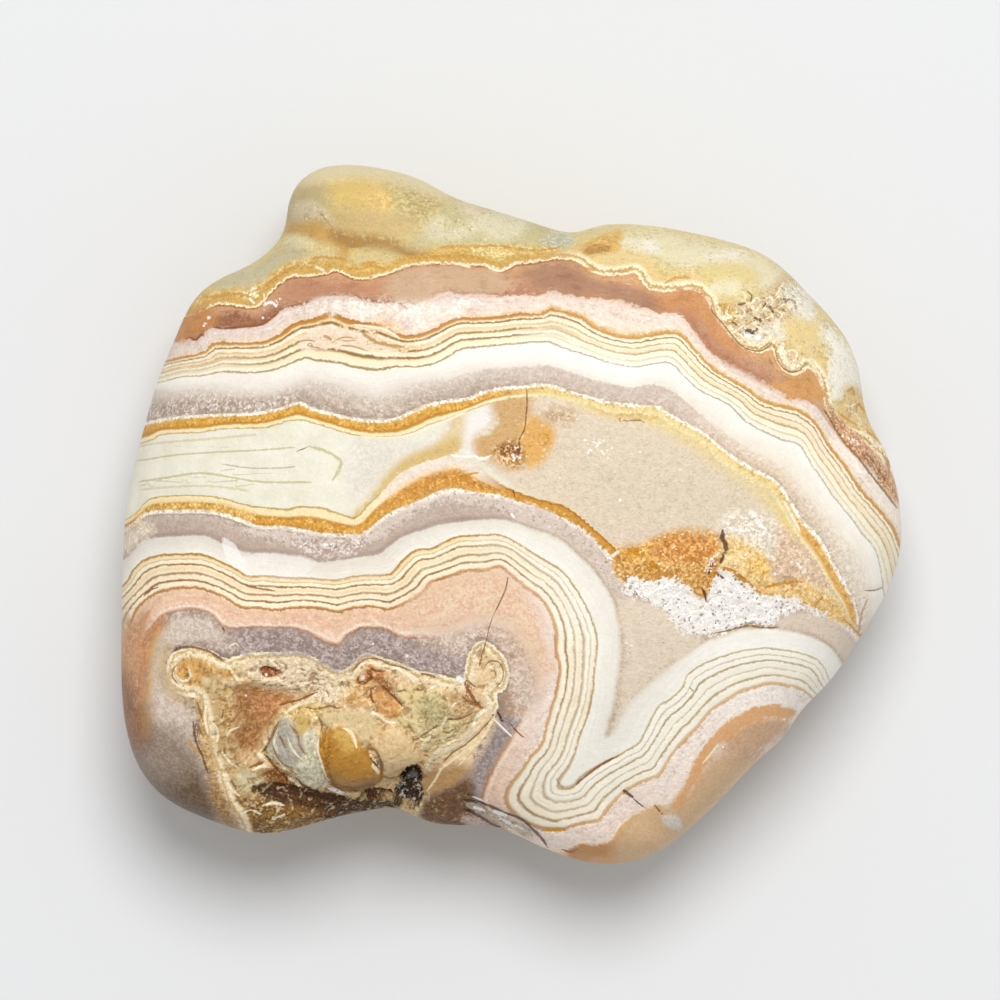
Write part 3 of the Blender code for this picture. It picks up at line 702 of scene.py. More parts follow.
# Fine marks under their colour: each is its half width in pixels, then its path or its one spot
FAINT_MARKS = {
    (190, 182, 126): (
        (0.9, 136,461, 150,459, 175,455, 220,452, 262,450, 296,447),
        (1.7, 310,447, 322,450, 338,458, 341,466, 332,481),
        (1.1, 138,482, 170,477, 200,473, 230,477, 262,482, 312,482),
    ),
    (178, 172, 148): (
        (0.8, 222,464, 250,468, 280,468, 300,466),
    ),
    (214, 200, 160): (
        (1.2, 132,448, 160,443, 220,438, 262,434), (1.2, 140,490, 170,487, 210,486, 250,491),
    ),
    (198, 148, 66): (
        (1.6, 404,256, 430,257, 470,256, 484,260), (1.2, 440,248, 460,247, 476,248),
        (1.4, 311,259, 320,257, 330,258, 340,258, 348,261),
        (1.5, 345,266, 352,269, 362,269, 374,266, 386,270), (0.9, 359,264, 370,262, 382,263),
        (1.7, 202,298, 222,295, 240,294, 252,297), (2.0, 256,291, 272,281, 284,272, 298,267, 314,268),
        (1.5, 664,284, 672,279, 684,277, 692,279), (1.4, 578,265, 588,269, 599,270),
        (1.6, 188,738, 194,748, 203,756), (1.2, 440,246, 470,246, 500,246, 530,250, 552,249, 564,244),
        (0.7, 318,211, 326,219, 333,229, 337,236), (1.5, 847,392, 852,388, 854,394),
        (1.2, 854,400, 862,408, 866,416), (1.2, 838,412, 848,420, 858,426),
        (1.0, 537,439, 540,434, 546,434, 549,439, 546,444, 540,444, 537,439), (3.0, 725,306, 724,312),
        (2.0, 733,309), (3.4, 729,322, 727,326), (3.4, 349,698, 354,695), (1.5, 384,716, 394,717, 402,712),
    ),
    (196, 150, 112): (
        (5.0, 784,578, 800,586), (3.0, 150,610, 143,622, 139,640),
        (1.6, 166,616, 156,624, 147,638, 143,655, 142,675, 145,690, 140,704),
        (2.0, 139,650, 138,665, 142,680, 144,688, 140,697, 134,708), (1.2, 868,598, 862,612, 858,636),
    ),
}  # fmt: skip

PALE_MARKS = {
    (254, 236, 194): (
        (1.3, 704,290, 713,297, 716,308, 720,318, 727,328, 735,337, 746,344, 757,345, 766,341, 776,339,
         783,344, 785,354, 789,363, 796,366, 803,361),
        (1.4, 495,700, 490,710, 477,729, 460,737, 447,743, 437,750, 423,767),
        (1.3, 496,713, 488,729, 480,740, 467,750, 453,760, 441,769, 435,782),
        (1.0, 493,722, 482,737, 470,752, 458,766), (1.3, 735,296, 741,292, 746,296, 742,301),
        (1.1, 750,302, 757,298, 761,304, 756,309), (1.2, 744,308, 751,306, 755,312),
        (1.2, 736,311, 741,317, 747,315), (1.2, 761,312, 768,309, 772,315, 766,319),
        (1.3, 774,300, 780,296, 786,291), (1.1, 778,308, 785,304, 790,310),
        (1.2, 768,323, 775,326, 782,322), (1.1, 730,304, 726,312, 731,319),
        (1.2, 752,323, 758,327, 765,329),
    ),
    (250, 244, 228): (
        (1.1, 350,325, 380,328, 400,338), (1.4, 870,446, 880,446, 890,452, 896,466, 900,480),
        (1.6, 783,500, 792,516, 800,532), (1.2, 627,643), (1.0, 632,646),
    ),
    (250, 239, 208): (
        (1.2, 484,263, 491,269, 500,271, 510,267, 517,261),
        (1.5, 716,302, 717,311, 722,318, 728,318, 733,315), (1.4, 741,300, 750,303, 757,299),
        (1.3, 775,297, 780,289, 784,282),
        (1.6, 784,345, 781,352, 783,360, 788,367, 794,369, 800,365, 803,358),
        (1.4, 805,359, 811,364, 818,372, 823,384),
        (1.0, 773,312, 778,311, 782,315, 779,320, 774,319, 772,315), (1.2, 756,312, 760,307, 766,309),
        (1.2, 742,318, 745,312, 742,308), (1.3, 352,677, 358,668, 366,663, 376,663, 381,667),
        (1.3, 392,668, 402,670, 410,677, 416,684), (1.4, 428,690, 440,684, 450,686, 458,683),
        (1.7, 486,711, 478,715, 474,723, 473,731, 467,739, 458,745, 446,750, 436,751, 431,759, 426,768),
        (1.1, 440,768, 438,775, 433,783, 427,791), (1.1, 422,743, 427,738, 434,733),
        # The strokes from 370,754 and 372,762 are painted highlights along the two sides of a crack, and
        # the one from 286,713 a painted highlight under another crack
        (1.0, 442,725, 446,717), (1.1, 452,706, 455,703), (1.0, 370,754, 376,758, 380,763),
        (1.5, 372,762, 377,768), (1.8, 344,728, 352,733, 356,746),
        (1.3, 319,740, 319,750, 323,762, 328,776), (1.5, 222,662, 230,668, 236,677, 241,684),
        (1.4, 204,690, 206,704, 205,718, 208,734), (1.3, 212,722, 218,732, 216,744),
        (1.3, 226,736, 231,730, 239,727), (1.2, 222,752, 230,762, 238,768),
        (1.4, 226,780, 232,790, 240,796), (2.0, 259,754, 266,760), (1.8, 286,778, 294,783, 303,790),
        (1.4, 252,771, 262,766, 270,768), (1.6, 286,713, 292,708, 303,703, 316,701),
        (1.6, 281,729, 278,740, 282,752), (1.2, 291,738, 295,748, 303,757),
        (1.0, 278,760, 287,770, 296,777), (1.1, 262,806, 272,803, 284,806),
        (1.0, 240,814, 250,810, 262,814), (1.2, 273,818, 284,815),
        (1.4, 372,712, 380,716, 388,722, 398,722), (1.2, 176,672, 179,679, 186,681, 191,676, 190,669),
        (1.1, 483,694, 488,698, 488,706, 484,711),
        (1.1, 486,671, 490,667, 497,669, 499,676, 496,683, 490,684, 486,679),
        (1.2, 702,764, 712,752, 720,742), (0.9, 228,648, 235,643, 239,647), (1.2, 457,264, 469,267),
        (1.6, 316,267, 323,270), (0.9, 264,294, 265,303),
        (0.9, 752,318, 757,315, 760,319, 756,323, 752,320),
        (0.9, 764,300, 770,297, 773,302, 768,306, 763,302),
        (1.1, 758,334, 764,331, 770,335, 766,341, 760,339), (1.0, 774,332, 780,328, 785,333, 781,339),
        (0.9, 786,310, 792,306, 797,311), (1.0, 728,326, 733,330, 731,336),
        (1.0, 738,330, 743,326, 748,330), (1.1, 786,354, 791,350, 797,353, 795,360, 789,361, 786,356),
        (0.8, 848,410, 856,414, 862,424), (0.8, 858,424, 866,432, 872,442),
        (0.9, 842,404, 850,406, 858,402), (0.8, 874,446, 880,456, 886,468),
        (1.0, 360,436, 380,438, 404,436, 424,430, 444,421, 468,412),
    ),
}  # fmt: skip

FINE_MARKS = {
    (112, 74, 38): (
        (1.1, 739,304, 745,303), (1.0, 763,307, 766,303), (1.1, 755,317, 761,319), (1.0, 770,306, 774,311),
        (1.0, 733,322, 738,325), (0.9, 782,299, 786,298),
        (1.5, 172,652, 180,648, 191,647, 205,650, 216,656, 223,662),
        (1.3, 193,722, 196,742, 203,758, 208,774),
    ),
    (206, 142, 30): (
        (3.2, 631,551, 637,553), (2.4, 645,572), (2.6, 652,563, 659,568),
        (1.5, 765,588, 780,584, 795,582, 805,582), (1.3, 455,485, 465,476, 480,472),
        (2.2, 541,831, 553,830, 565,831),
    ),
    (188, 148, 98): (
        (1.4, 824,596, 818,603, 815,610), (1.1, 663,643), (1.3, 886,456, 890,470, 888,484),
    ),
    (182, 144, 92): (
        (0.9, 292,346, 300,341, 308,340, 316,341), (0.9, 334,341, 340,338, 348,337, 356,339),
        (0.9, 306,345, 314,347, 322,348), (0.8, 340,346, 352,346, 368,351),
        (1.8, 361,331, 366,336, 374,341, 384,344, 394,346, 404,347), (1.4, 324,336, 329,338, 333,342),
    ),
    (146, 108, 62): (
        (1.0, 304,707, 314,709, 322,708, 330,706, 338,708, 343,707), (1.3, 318,717, 322,724, 320,732),
        (1.0, 413,742, 420,737, 428,731, 440,725), (0.8, 448,720, 458,719, 466,716, 473,712),
        (0.9, 713,634, 732,630, 748,626, 762,628, 778,628),
        (0.8, 352,672, 359,664, 368,659, 380,660, 390,665, 400,667, 410,671),
        (0.8, 711,305, 713,312, 722,322, 729,331, 740,344, 749,349, 760,351, 768,347, 772,343),
        (0.8, 776,350, 778,360, 784,368, 791,372, 798,371, 804,366), (0.9, 748,291, 752,295, 751,301),
        (0.8, 786,301, 791,298, 796,302), (1.0, 743,334, 746,338),
        (0.8, 492,718, 483,729, 474,738, 463,747, 452,754, 444,763), (1.1, 748,311), (1.3, 761,321),
        (1.2, 197,702, 200,712, 203,722), (1.4, 197,724, 200,731, 204,738),
        (1.6, 245,735, 244,742, 241,750), (1.0, 241,703, 242,712), (1.0, 223,711, 222,718),
        (1.1, 224,746, 225,753), (1.2, 232,782, 236,789), (2.0, 279,722, 273,737, 266,748, 262,752),
        (1.4, 292,726, 298,734, 300,742), (1.2, 283,736, 288,746), (1.0, 300,744, 306,753),
        (0.8, 276,747, 282,760, 292,768), (1.6, 366,752, 370,749, 376,750, 381,762, 381,773),
        (1.4, 384,777, 396,776, 404,777), (1.3, 398,691, 404,690), (1.0, 417,690, 423,690),
        (1.2, 462,696, 468,702, 475,706), (1.0, 467,681, 471,684, 475,687),
        (1.2, 824,408, 836,428, 846,443, 858,456, 870,472, 886,492, 898,508),
        (0.8, 178,664, 173,670, 173,678, 179,685), (0.8, 182,667, 187,670, 187,676, 182,677),
        (0.7, 484,669, 489,662, 498,662, 503,670, 502,681, 495,689),
        (0.6, 490,672, 494,671, 496,676, 493,680), (0.8, 616,420, 622,418, 626,420, 620,422),
        (0.8, 628,421, 640,420, 645,423), (1.0, 244,585, 256,588, 276,591), (0.7, 296,452, 309,446),
        (0.7, 314,448), (0.8, 690,688, 693,691), (0.9, 865,591, 874,591, 883,588), (0.7, 556,780, 562,787),
        (1.0, 866,452, 876,464, 888,484),
    ),
    (128, 84, 50): (
        (0.8, 527,390, 527,405, 526,416, 525,428, 522,434, 519,440, 520,450, 519,462),
        (0.7, 508,576, 506,588, 500,602, 494,614), (0.45, 494,614, 489,628, 486,642, 482,655, 478,670),
    ),
    (140, 78, 22): (
        (1.1, 278,707, 285,704, 292,702, 300,700, 308,696, 318,692),
        (2.2, 464,682, 468,690, 472,697, 477,704, 482,709), (1.5, 259,670, 266,668, 273,671, 278,673),
        (1.1, 262,676, 270,677, 276,676), (1.3, 371,690, 371,697, 373,702),
        (1.5, 380,684, 388,692, 396,699, 402,706), (1.8, 358,677, 359,682, 366,682, 371,677, 367,672),
        (1.1, 372,669, 378,671, 384,671), (1.1, 422,674, 428,675, 434,677),
        (1.8, 264,762, 257,765, 250,768), (2.4, 270,776, 280,782, 290,790),
        (1.8, 296,780, 302,785, 308,789), (1.6, 262,776, 272,772),
        (1.4, 264,754, 272,764, 278,773, 286,782),
        (1.8, 404,776, 407,769, 414,765, 420,770, 420,782, 422,794), (1.8, 329,783, 337,787, 346,790),
        (0.9, 510,724, 516,731, 524,738), (1.0, 500,447, 506,451, 503,458),
        (1.0, 511,446, 515,452, 511,459), (1.0, 184,339, 190,337, 195,340, 200,334, 204,336),
        (1.1, 212,327, 224,328, 236,327, 247,326, 262,324, 274,315, 280,309), (0.9, 655,806, 662,814),
        (0.9, 702,587, 704,592), (1.0, 222,626, 224,631),
        (0.9, 190,647, 198,649, 207,650, 213,654, 219,658, 226,660), (0.9, 142,597, 150,590, 158,587),
        (1.2, 575,786, 584,778, 600,766, 618,756), (1.1, 578,850, 570,853, 560,850),
        (0.9, 513,490, 515,497),
    ),
    (76, 36, 14): (
        (1.5, 464,801, 478,803, 490,807, 502,813, 514,817, 525,823, 534,832, 541,839, 547,848),
        (2.5, 723,530, 723,539, 726,545, 726,553), (1.7, 725,553, 721,562),
        (1.5, 702,588, 705,594, 706,602), (1.4, 719,575, 723,578), (1.4, 712,564, 709,573),
        (1.5, 624,791, 632,797), (0.7, 630,796, 638,803, 646,809), (1.8, 747,330, 753,332), (1.4, 757,329),
        (1.0, 268,793, 280,794, 294,798), (1.1, 304,799, 318,801, 330,805), (1.8, 355,789),
        (0.8, 369,756, 375,762, 379,767), (2.6, 414,774, 412,782, 413,790), (3.2, 404,795, 409,801),
        (1.4, 464,810, 472,813, 482,819, 492,825, 500,828), (1.2, 498,713, 502,721),
        (1.6, 363,790, 376,790, 396,796),
    ),
}  # fmt: skip

GLINTS = {
    (252, 250, 246): (
        (2.8, 459,678, 462,681), (1.1, 494,719, 500,725, 506,731, 513,737),
        (1.4, 727,527, 735,530, 746,531), (2.4, 751,513, 755,515), (1.5, 757,523, 765,529),
        (1.3, 759,535, 766,532), (1.7, 712,559), (1.4, 717,555), (1.5, 709,565), (1.2, 715,564),
        (1.2, 705,571), (1.0, 720,550), (1.1, 711,571), (1.5, 612,556, 618,552), (1.3, 659,564),
        (2.2, 804,571), (1.6, 798,564), (1.2, 450,455, 466,457, 474,456, 482,459, 492,455), (1.8, 209,318),
        (1.3, 263,318), (1.2, 280,299), (1.2, 204,326), (1.4, 265,305, 272,302, 276,306), (2.7, 363,677),
        (1.8, 373,713), (1.6, 266,676), (1.7, 407,656), (1.1, 373,644), (0.9, 398,645), (1.8, 853,440),
        (1.3, 843,436), (1.2, 858,444), (1.3, 723,747), (1.3, 784,719), (1.2, 246,697),
        (2.4, 329,789, 337,791, 344,792), (1.2, 250,299, 254,303), (1.2, 511,514, 514,517), (1.4, 775,574),
        (1.3, 409,797), (1.2, 415,770), (1.6, 494,812, 506,816), (1.3, 474,808, 484,811),
        (1.5, 500,820, 512,826), (1.1, 516,826, 524,832), (2.2, 746,336, 753,337, 759,338), (1.4, 513,455),
        (1.2, 520,458), (1.0, 472,796, 480,799, 487,803), (1.3, 316,718), (1.4, 232,679), (1.5, 620,500),
        (1.1, 560,478), (1.0, 640,452), (1.2, 596,447), (1.4, 585,440), (1.1, 591,447), (1.3, 598,445),
        (1.2, 603,453), (0.9, 594,439), (1.0, 608,458), (0.9, 588,453), (1.0, 612,448), (0.9, 604,440),
        (0.9, 680,470),
    ),
    (158, 160, 152): (
        (3.0, 408,782), (2.6, 400,788), (2.6, 416,792), (1.6, 398,798), (1.4, 776,316),
    ),
}  # fmt: skip

# The groups of marks in the order that they are laid on, their strengths, and how deep they are cut
STROKES = {"faint": FAINT_MARKS, "pale": PALE_MARKS, "fine": FINE_MARKS, "glint": GLINTS}
MARK_STRENGTH = {"faint": 0.75, "pale": 0.85, "fine": 0.9, "glint": 0.95}
MARK_DEPTH = {"fine": 0.00009, "pale": -0.00002, "glint": -0.00003}

# Forms on the face: how far in from the edge they rise, in pixels, and how high, in metres
FORMS = {
    "amber lump": (16, 0.00060), "grey lump": (14, 0.00045), "cream dome": (16, 0.00050),
    "roof lobe": (8, 0.00015), "green slope": (14, 0.00012), "chips": (4, 0.00012),
    "chip facet": (5, 0.00015), "chip brown": (4, -0.00015), "dish": (16, -0.00030),
    "red pit": (3, -0.00022), "vug": (9, -0.00130), "deep crevice": (5, -0.00070),
    "orb disc": (8, 0.00010), "lip": (4, -0.00012), "crack grains": (5, -0.00010),
    "rocky shade": (8, -0.00020), "crevice": (6, -0.00045), "knob under": (6, -0.00016),
    "rust core": (6, -0.00008),
}  # fmt: skip
SMOOTH_FORMS = ("amber lump", "grey lump", "cream dome", "roof lobe", "dish")

# Patches outside the hollow whose surface is rough rock too, and how rough
ROCKY = {
    "curls": 0.9, "flank tan": 0.7, "dark right end": 0.5, "knob frost": 0.5, "lip": 1.0,
    "lip under": 0.8, "brown corner": 0.7, "beige corner": 0.5, "cream dome": 0.3,
}  # fmt: skip

# How strong the grain is on some patches: past 1.22 it shows single crystals
GRIT = {
    "sand": 0.8, "olive sand": 0.8, "rosy sand": 1.0, "pale sand": 1.0, "rust": 1.2, "rust core": 1.2,
    "yellow flow": 1.1, "crack stain": 0.9, "crack ochre": 1.1, "crack grains": 1.3, "lower fringe": 0.9,
    "sugar": 1.3, "wedge": 0.7, "lower sugar": 1.2, "curls": 1.25, "curl white": 1.2, "rim white": 0.9,
    "amber lump": 0.6, "cream dome": 0.5, "grey lump": 0.8, "knob": 0.7, "purple quartz": 1.0,
    "lilac": 0.4, "brown lobe in painted shade": 0.35, "lobe tan": 0.6, "lobe orange": 0.6, "flank tan": 1.2,
    "flank white": 0.9, "dark right end": 1.24, "dark left end": 1.2, "vug": 1.4,
    "green ridge": 1.0, "rim ochre": 1.0, "knob frost": 1.2, "saddle": 0.9,
}  # fmt: skip

# How strong the grain is on the bands: layer and strength
BAND_GRIT = (
    (-9, 0.9), (-7.1, 0.9), (-6.9, 0.6), (-6, 0.6), (-5.7, 0.5), (-5, 0.6), (-4.9, 0.25), (-4, 0.15),
    (-3.05, 0.1), (-2.95, 0.5), (-2, 0.9), (-1.9, 0.9), (-1.4, 0.9), (-1.3, 0.4), (-1, 0.3), (-0.9, 0.15),
    (0.9, 0.15), (1, 0.3), (1.3, 0.4), (1.4, 0.9), (1.9, 0.9), (2.05, 0.9), (2.9, 0.6), (3.05, 0.1),
    (4, 0.15), (4.9, 0.25), (5, 0.4), (5.8, 0.5), (6, 0.6), (6.9, 0.7), (7.2, 0.8), (9, 0.8),
)  # fmt: skip

# Places whose surface is cut finer: the hollow with its lip, the sugary crust and the curls
FINE_PLACES = (
    (158,642, 230,646, 350,648, 460,668, 484,634, 512,650, 518,700, 500,740, 476,770, 470,794, 520,806,
     560,850, 530,870, 440,835, 380,815, 250,845, 212,812, 200,770, 182,750, 194,700, 160,690),
    (616,570, 700,584, 716,526, 732,528, 730,570, 790,596, 830,616, 776,634, 700,642, 660,616, 620,604),
    (690,286, 730,300, 780,270, 806,280, 816,304, 796,320, 812,360, 826,400, 780,380, 740,356, 706,320),
)  # fmt: skip


def camera_place():
    """Straight over the middle of the photograph."""
    x, y = (PHOTO_SIDE / 2 - MIDDLE) * (PIXEL, -PIXEL)
    return Vector((x, y, GIRDLE + CAMERA_RISE))


def photo_places(points):
    """Where the camera sees each point, in the photograph's pixels."""
    eye = np.array(camera_place())
    spread = CAMERA_RISE / (eye[2] - points[:, 2]) / PIXEL
    across = (points[:, :2] - eye[:2]) * spread[:, None] * (1, -1)
    return across + PHOTO_SIDE / 2


def rough_noise(points, size, octaves=1):
    """Noise at each point, with its main forms about as wide as size, in metres."""
    roughness, gap, basis = 0.7, 2.1, "PERLIN_ORIGINAL"
    spots = (points / size).tolist()
    return np.array([noise.fractal(spot, roughness, gap, octaves, noise_basis=basis) for spot in spots])


def pattern_places(points):
    """Where each point lies in the pattern: as seen on the face, and turned away round the back."""
    seen = photo_places(points)
    back = ease((GIRDLE - points[:, 2]) / GIRDLE) ** 1.2
    off = (seen - MIDDLE) * (1 - (1 - BACK_SCALE) * back)[:, None]
    c, s = np.cos(BACK_TURN * back), np.sin(BACK_TURN * back)
    turned = np.stack((off[:, 0] * c - off[:, 1] * s, off[:, 0] * s + off[:, 1] * c), axis=1)
    wave = np.stack([rough_noise(points + seed, BACK_WAVE_SIZE) for seed in (0.31, 0.84)], axis=1)
    return MIDDLE + turned + (BACK_MOVE + BACK_WAVE * wave) * back[:, None]


def link(name, thing):
    made = bpy.data.objects.new(name, thing)
    bpy.context.scene.collection.objects.link(made)
    return made


def split(shell, faces):
    """Cuts each face into four."""
    edges = {edge for face in faces for edge in face.edges}
    bmesh.ops.subdivide_edges(shell, edges=list(edges), cuts=1, use_grid_fill=True)


def smooth_all(shell, times):
    for _ in range(times):
        bmesh.ops.smooth_vert(
            shell, verts=shell.verts, factor=0.5, use_axis_x=True, use_axis_y=True, use_axis_z=True
        )


def even_mesh():
    """The CAD stone as a smooth mesh of even quads."""
    shell = bmesh.new()
    shell.from_mesh(frame["nodes"][STONE].data)
    bmesh.ops.remove_doubles(shell, verts=shell.verts, dist=1e-7)
    mesh = bpy.data.meshes.new("even stone")
    shell.to_mesh(mesh)
    shell.free()
    holder = link("even stone", mesh)
    quads = holder.modifiers.new("even quads", "REMESH")
    quads.mode = "VOXEL"
    quads.voxel_size = VOXEL
    calm = holder.modifiers.new("no facets", "SMOOTH")
    calm.factor = 0.5
    calm.iterations = SMOOTHINGS
    graph = bpy.context.evaluated_depsgraph_get()
    even = bpy.data.meshes.new_from_object(holder.evaluated_get(graph))
    bpy.data.objects.remove(holder)
    return even


def refine(mesh):
    """Splits the faces that look up, and those in the fine places once more."""
    fine = bmesh.new()
    fine.from_mesh(mesh)
    split(fine, [face for face in fine.faces if face.normal.z > FACE_UP])
    smooth_all(fine, FINE_SMOOTHINGS)
    upward = [face for face in fine.faces if face.normal.z > FACE_UP]
    at = photo_places(np.array([face.calc_center_median() for face in upward]))
    chosen = np.any([inside(at, pairs(place)) for place in FINE_PLACES], axis=0)
    split(fine, [upward[index] for index in np.flatnonzero(chosen)])
    smooth_all(fine, 1)
    fine.to_mesh(mesh)
    fine.free()


def read_values(things, field, width=3):
    """One field of the mesh's points or faces, a row of numbers for each."""
    values = np.zeros(len(things) * width, np.float32)
    things.foreach_get(field, values)
    return values.reshape(-1, width).astype(float)


def near(at, curve, margin):
    """Which places lie no further from a curve's box than the margin."""
    low, high = curve.min(0) - margin, curve.max(0) + margin
    return np.flatnonzero(((at > low) & (at < high)).all(1))


def outline_depth(at, outline):
    """How many pixels each place is inside an outline, or outside it if under 0."""
    loop = smooth_path(outline, closed=True)
    close = near(at, loop, PATCH_MARGIN)
    depth = np.full(len(at), -float(PATCH_MARGIN))
    gap = offset_from(at[close], np.vstack((loop, loop[:1])))[0]
    depth[close] = np.where(inside(at[close], loop), gap, -np.minimum(gap, PATCH_MARGIN))
    return depth


def mark_fields(at, marks_by_colour):
    """The nearest mark of a group: its offset in half widths, its colour, and the gap left to it."""
    offset, gap_left = np.full((len(at), 3), 6.0), np.full(len(at), float(MARK_MARGIN))
    tone = np.full((len(at), 4), 0.5)
    for shade, marks in marks_by_colour.items():
        for half_width, *path in marks:
            curve = smooth_path(path)
            close = near(at, curve, MARK_MARGIN)
            gap, off, along = offset_from(at[close], curve)
            length = np.hypot(*np.diff(curve, axis=0).T).sum()
            taper = 0.4 + 0.6 * ease(np.minimum(along, length - along) / 6)
            width = half_width * (taper if length > LONG_MARK else np.ones(len(close)))
            nearer = gap - half_width < gap_left[close]
            chosen = close[nearer]
            gap_left[chosen] = (gap - half_width)[nearer]
            offset[chosen] = 0
            offset[chosen, :2] = (off / width[:, None])[nearer]
            tone[chosen] = colour(*shade)
    tone[:, 3] = gap_left
    return offset, tone


def add_relief(mesh, at, layer, depths, gaps):
    """Moves the face's points along their normals to make the fine relief; returns the crags."""
    points = read_values(mesh.vertices, "co")
    normals = read_values(mesh.vertices, "normal")
    face = ease((points[:, 2] - FACE_START) / 0.003) * ease((normals[:, 2] + 0.1) / 0.3)
    height = np.zeros(len(points))
    for name, (reach, rise) in FORMS.items():
        inward = np.clip(depths[name] / reach + 0.08, 0, 1)
        height += rise * np.sqrt(1 - (1 - inward) ** 2)
    for name, depth in MARK_DEPTH.items():
        height -= depth * ease(1 - gaps[name] / 2.0)
    calm = np.clip(sum(ease(depths[name] / 4) for name in SMOOTH_FORMS), 0, 1)
    rock = ease((-layer - HOST_START) / 0.12)
    for name, strength in ROCKY.items():
        rock = np.maximum(rock, strength * ease(depths[name] / 5))
    craggy = np.flatnonzero((rock * face) > 0.01)
    crags = np.zeros(len(points))
    rocky = points[craggy]
    small = rough_noise(rocky * (1.3, 0.8, 1), CRAG_SIZE, 3)
    folds = ease(1 - np.abs(rough_noise(rocky * (1.2, 0.8, 1), FOLD_SIZE, 2)) / 0.16)
    creases = ease(1 - np.abs(rough_noise(rocky + 0.5, CREASE_SIZE, 3)) / 0.13)
    crags[craggy] = (rock * (1 - 0.6 * calm))[craggy] * (0.45 * small + 0.75 * folds - 0.95 * creases)
    height += crags * CRAG_RISE
    sugar = ease(depths["sugar"] / 4 + 0.4)
    sugared = np.flatnonzero((sugar * face) > 0.01)
    height[sugared] += sugar[sugared] * rough_noise(points[sugared], SUGAR_SIZE, 2) * SUGAR_RISE
    beads = ease(1 - np.abs(np.abs(layer) - BEADS_AT) / 0.5) * face
    beaded = np.flatnonzero(beads > 0.01)
    height[beaded] += beads[beaded] * rough_noise(points[beaded], BEAD_SIZE, 2) * BEAD_RISE
    moved = points + normals * (height * face)[:, None]
    moved[:, 2] = np.maximum(moved[:, 2], 0)
    mesh.vertices.foreach_set("co", moved.astype(np.float32).ravel())
    mesh.update()
    return crags


def store(mesh, name, values):
    """Keeps one number, an offset or a colour for each point of the mesh."""
    flat = values.astype(np.float32).ravel()
    if values.ndim == 1:
        mesh.attributes.new(name, "FLOAT", "POINT").data.foreach_set("value", flat)
    elif values.shape[1] == 3:
        mesh.attributes.new(name, "FLOAT_VECTOR", "POINT").data.foreach_set("vector", flat)
    else:
        mesh.attributes.new(name, "FLOAT_COLOR", "POINT").data.foreach_set("color", flat)


def soft_patches(count, patches, depths):
    """Patches with soft edges laid over each other: colour and cover, flecks' colour and raggedness."""
    nearest = np.argmax([depths[name] for name in patches], axis=0)
    tone = np.array([colour(*patch[0]) for patch in patches.values()])[nearest]
    fleck = np.array([colour(*patch[1]) for patch in patches.values()])[nearest]
    cover, ragged = np.zeros(count), np.zeros(count)
    for name, (shade, second, soft, rag, strength, _) in patches.items():
        spread = np.clip(0.5 + (depths[name] + BLEED) / (2 * soft), 0, 1)[:, None]
        tone = tone * (1 - spread) + np.array(colour(*shade)) * spread
        fleck = fleck * (1 - spread) + np.array(colour(*second)) * spread
        alpha = np.clip(0.5 + depths[name] / (2 * soft), 0, 1)
        ragged = ragged * (1 - alpha) + 4 * alpha * (1 - alpha) * min(rag / (2 * soft), 1.5)
        cover = 1 - (1 - cover) * (1 - alpha * strength)
    tone[:, 3], fleck[:, 3] = cover, ragged
    return tone, fleck


def crisp_patches(count, patches, depths):
    """Patches with crisp edges: the depth in the nearest one, its colours, strength and raggedness."""
    depth = np.full(count, -float(PATCH_MARGIN))
    tone, fleck = np.full((count, 4), 0.5), np.full((count, 4), 0.5)
    for name, (shade, second, _, rag, strength, _) in patches.items():
        taken = (depths[name] > depth) | (depths[name] > 0)
        tone[taken] = (*colour(*shade)[:3], strength)
        fleck[taken] = (*colour(*second)[:3], rag)
        depth = np.maximum(depth, depths[name])
    return depth, tone, fleck


def store_patches(mesh, depths):
    """Keeps what the material needs of each group of patches."""
    count = len(mesh.vertices)
    for group, (patches, crisp) in GROUPS.items():
        if crisp:
            depth, tone, fleck = crisp_patches(count, patches, depths)
            store(mesh, group + " depth", depth)
        else:
            tone, fleck = soft_patches(count, patches, depths)
        store(mesh, group + " tone", tone)
        store(mesh, group + " fleck", fleck)


def wobble(layer):
    """How far, in pixels, noise moves the borders of the bands."""
    amount = np.full(len(layer), 0.75)
    amount += 1.7 * ease(1 - np.abs(layer - 6.0) / 0.25)
    amount += 1.2 * ease(1 - np.abs(layer + 6.0) / 0.2)
    amount += 0.5 * ease(1 - np.abs(np.abs(layer) - 4.97) / 0.12)
    amount += 0.9 * ease((np.abs(layer) - 6.9) / 0.1)
    return amount


def grittiness(layer, depths):
    """How strong the grain is: weak in the fine bands, strong on sand, rust, crust and host rock."""
    amount = np.interp(layer, *np.array(BAND_GRIT).T)
    middle, rim = ease((1.15 - np.abs(layer)) / 0.15), ease((layer - 7) / 0.1)
    for name, strength in GRIT.items():
        zone = middle if name in MIDDLE_PATCHES else rim if name in RIM_PATCHES else 1.0
        share = ease(depths[name] / 6 + 0.5) * zone
        amount = amount * (1 - share) + strength * share
    return amount


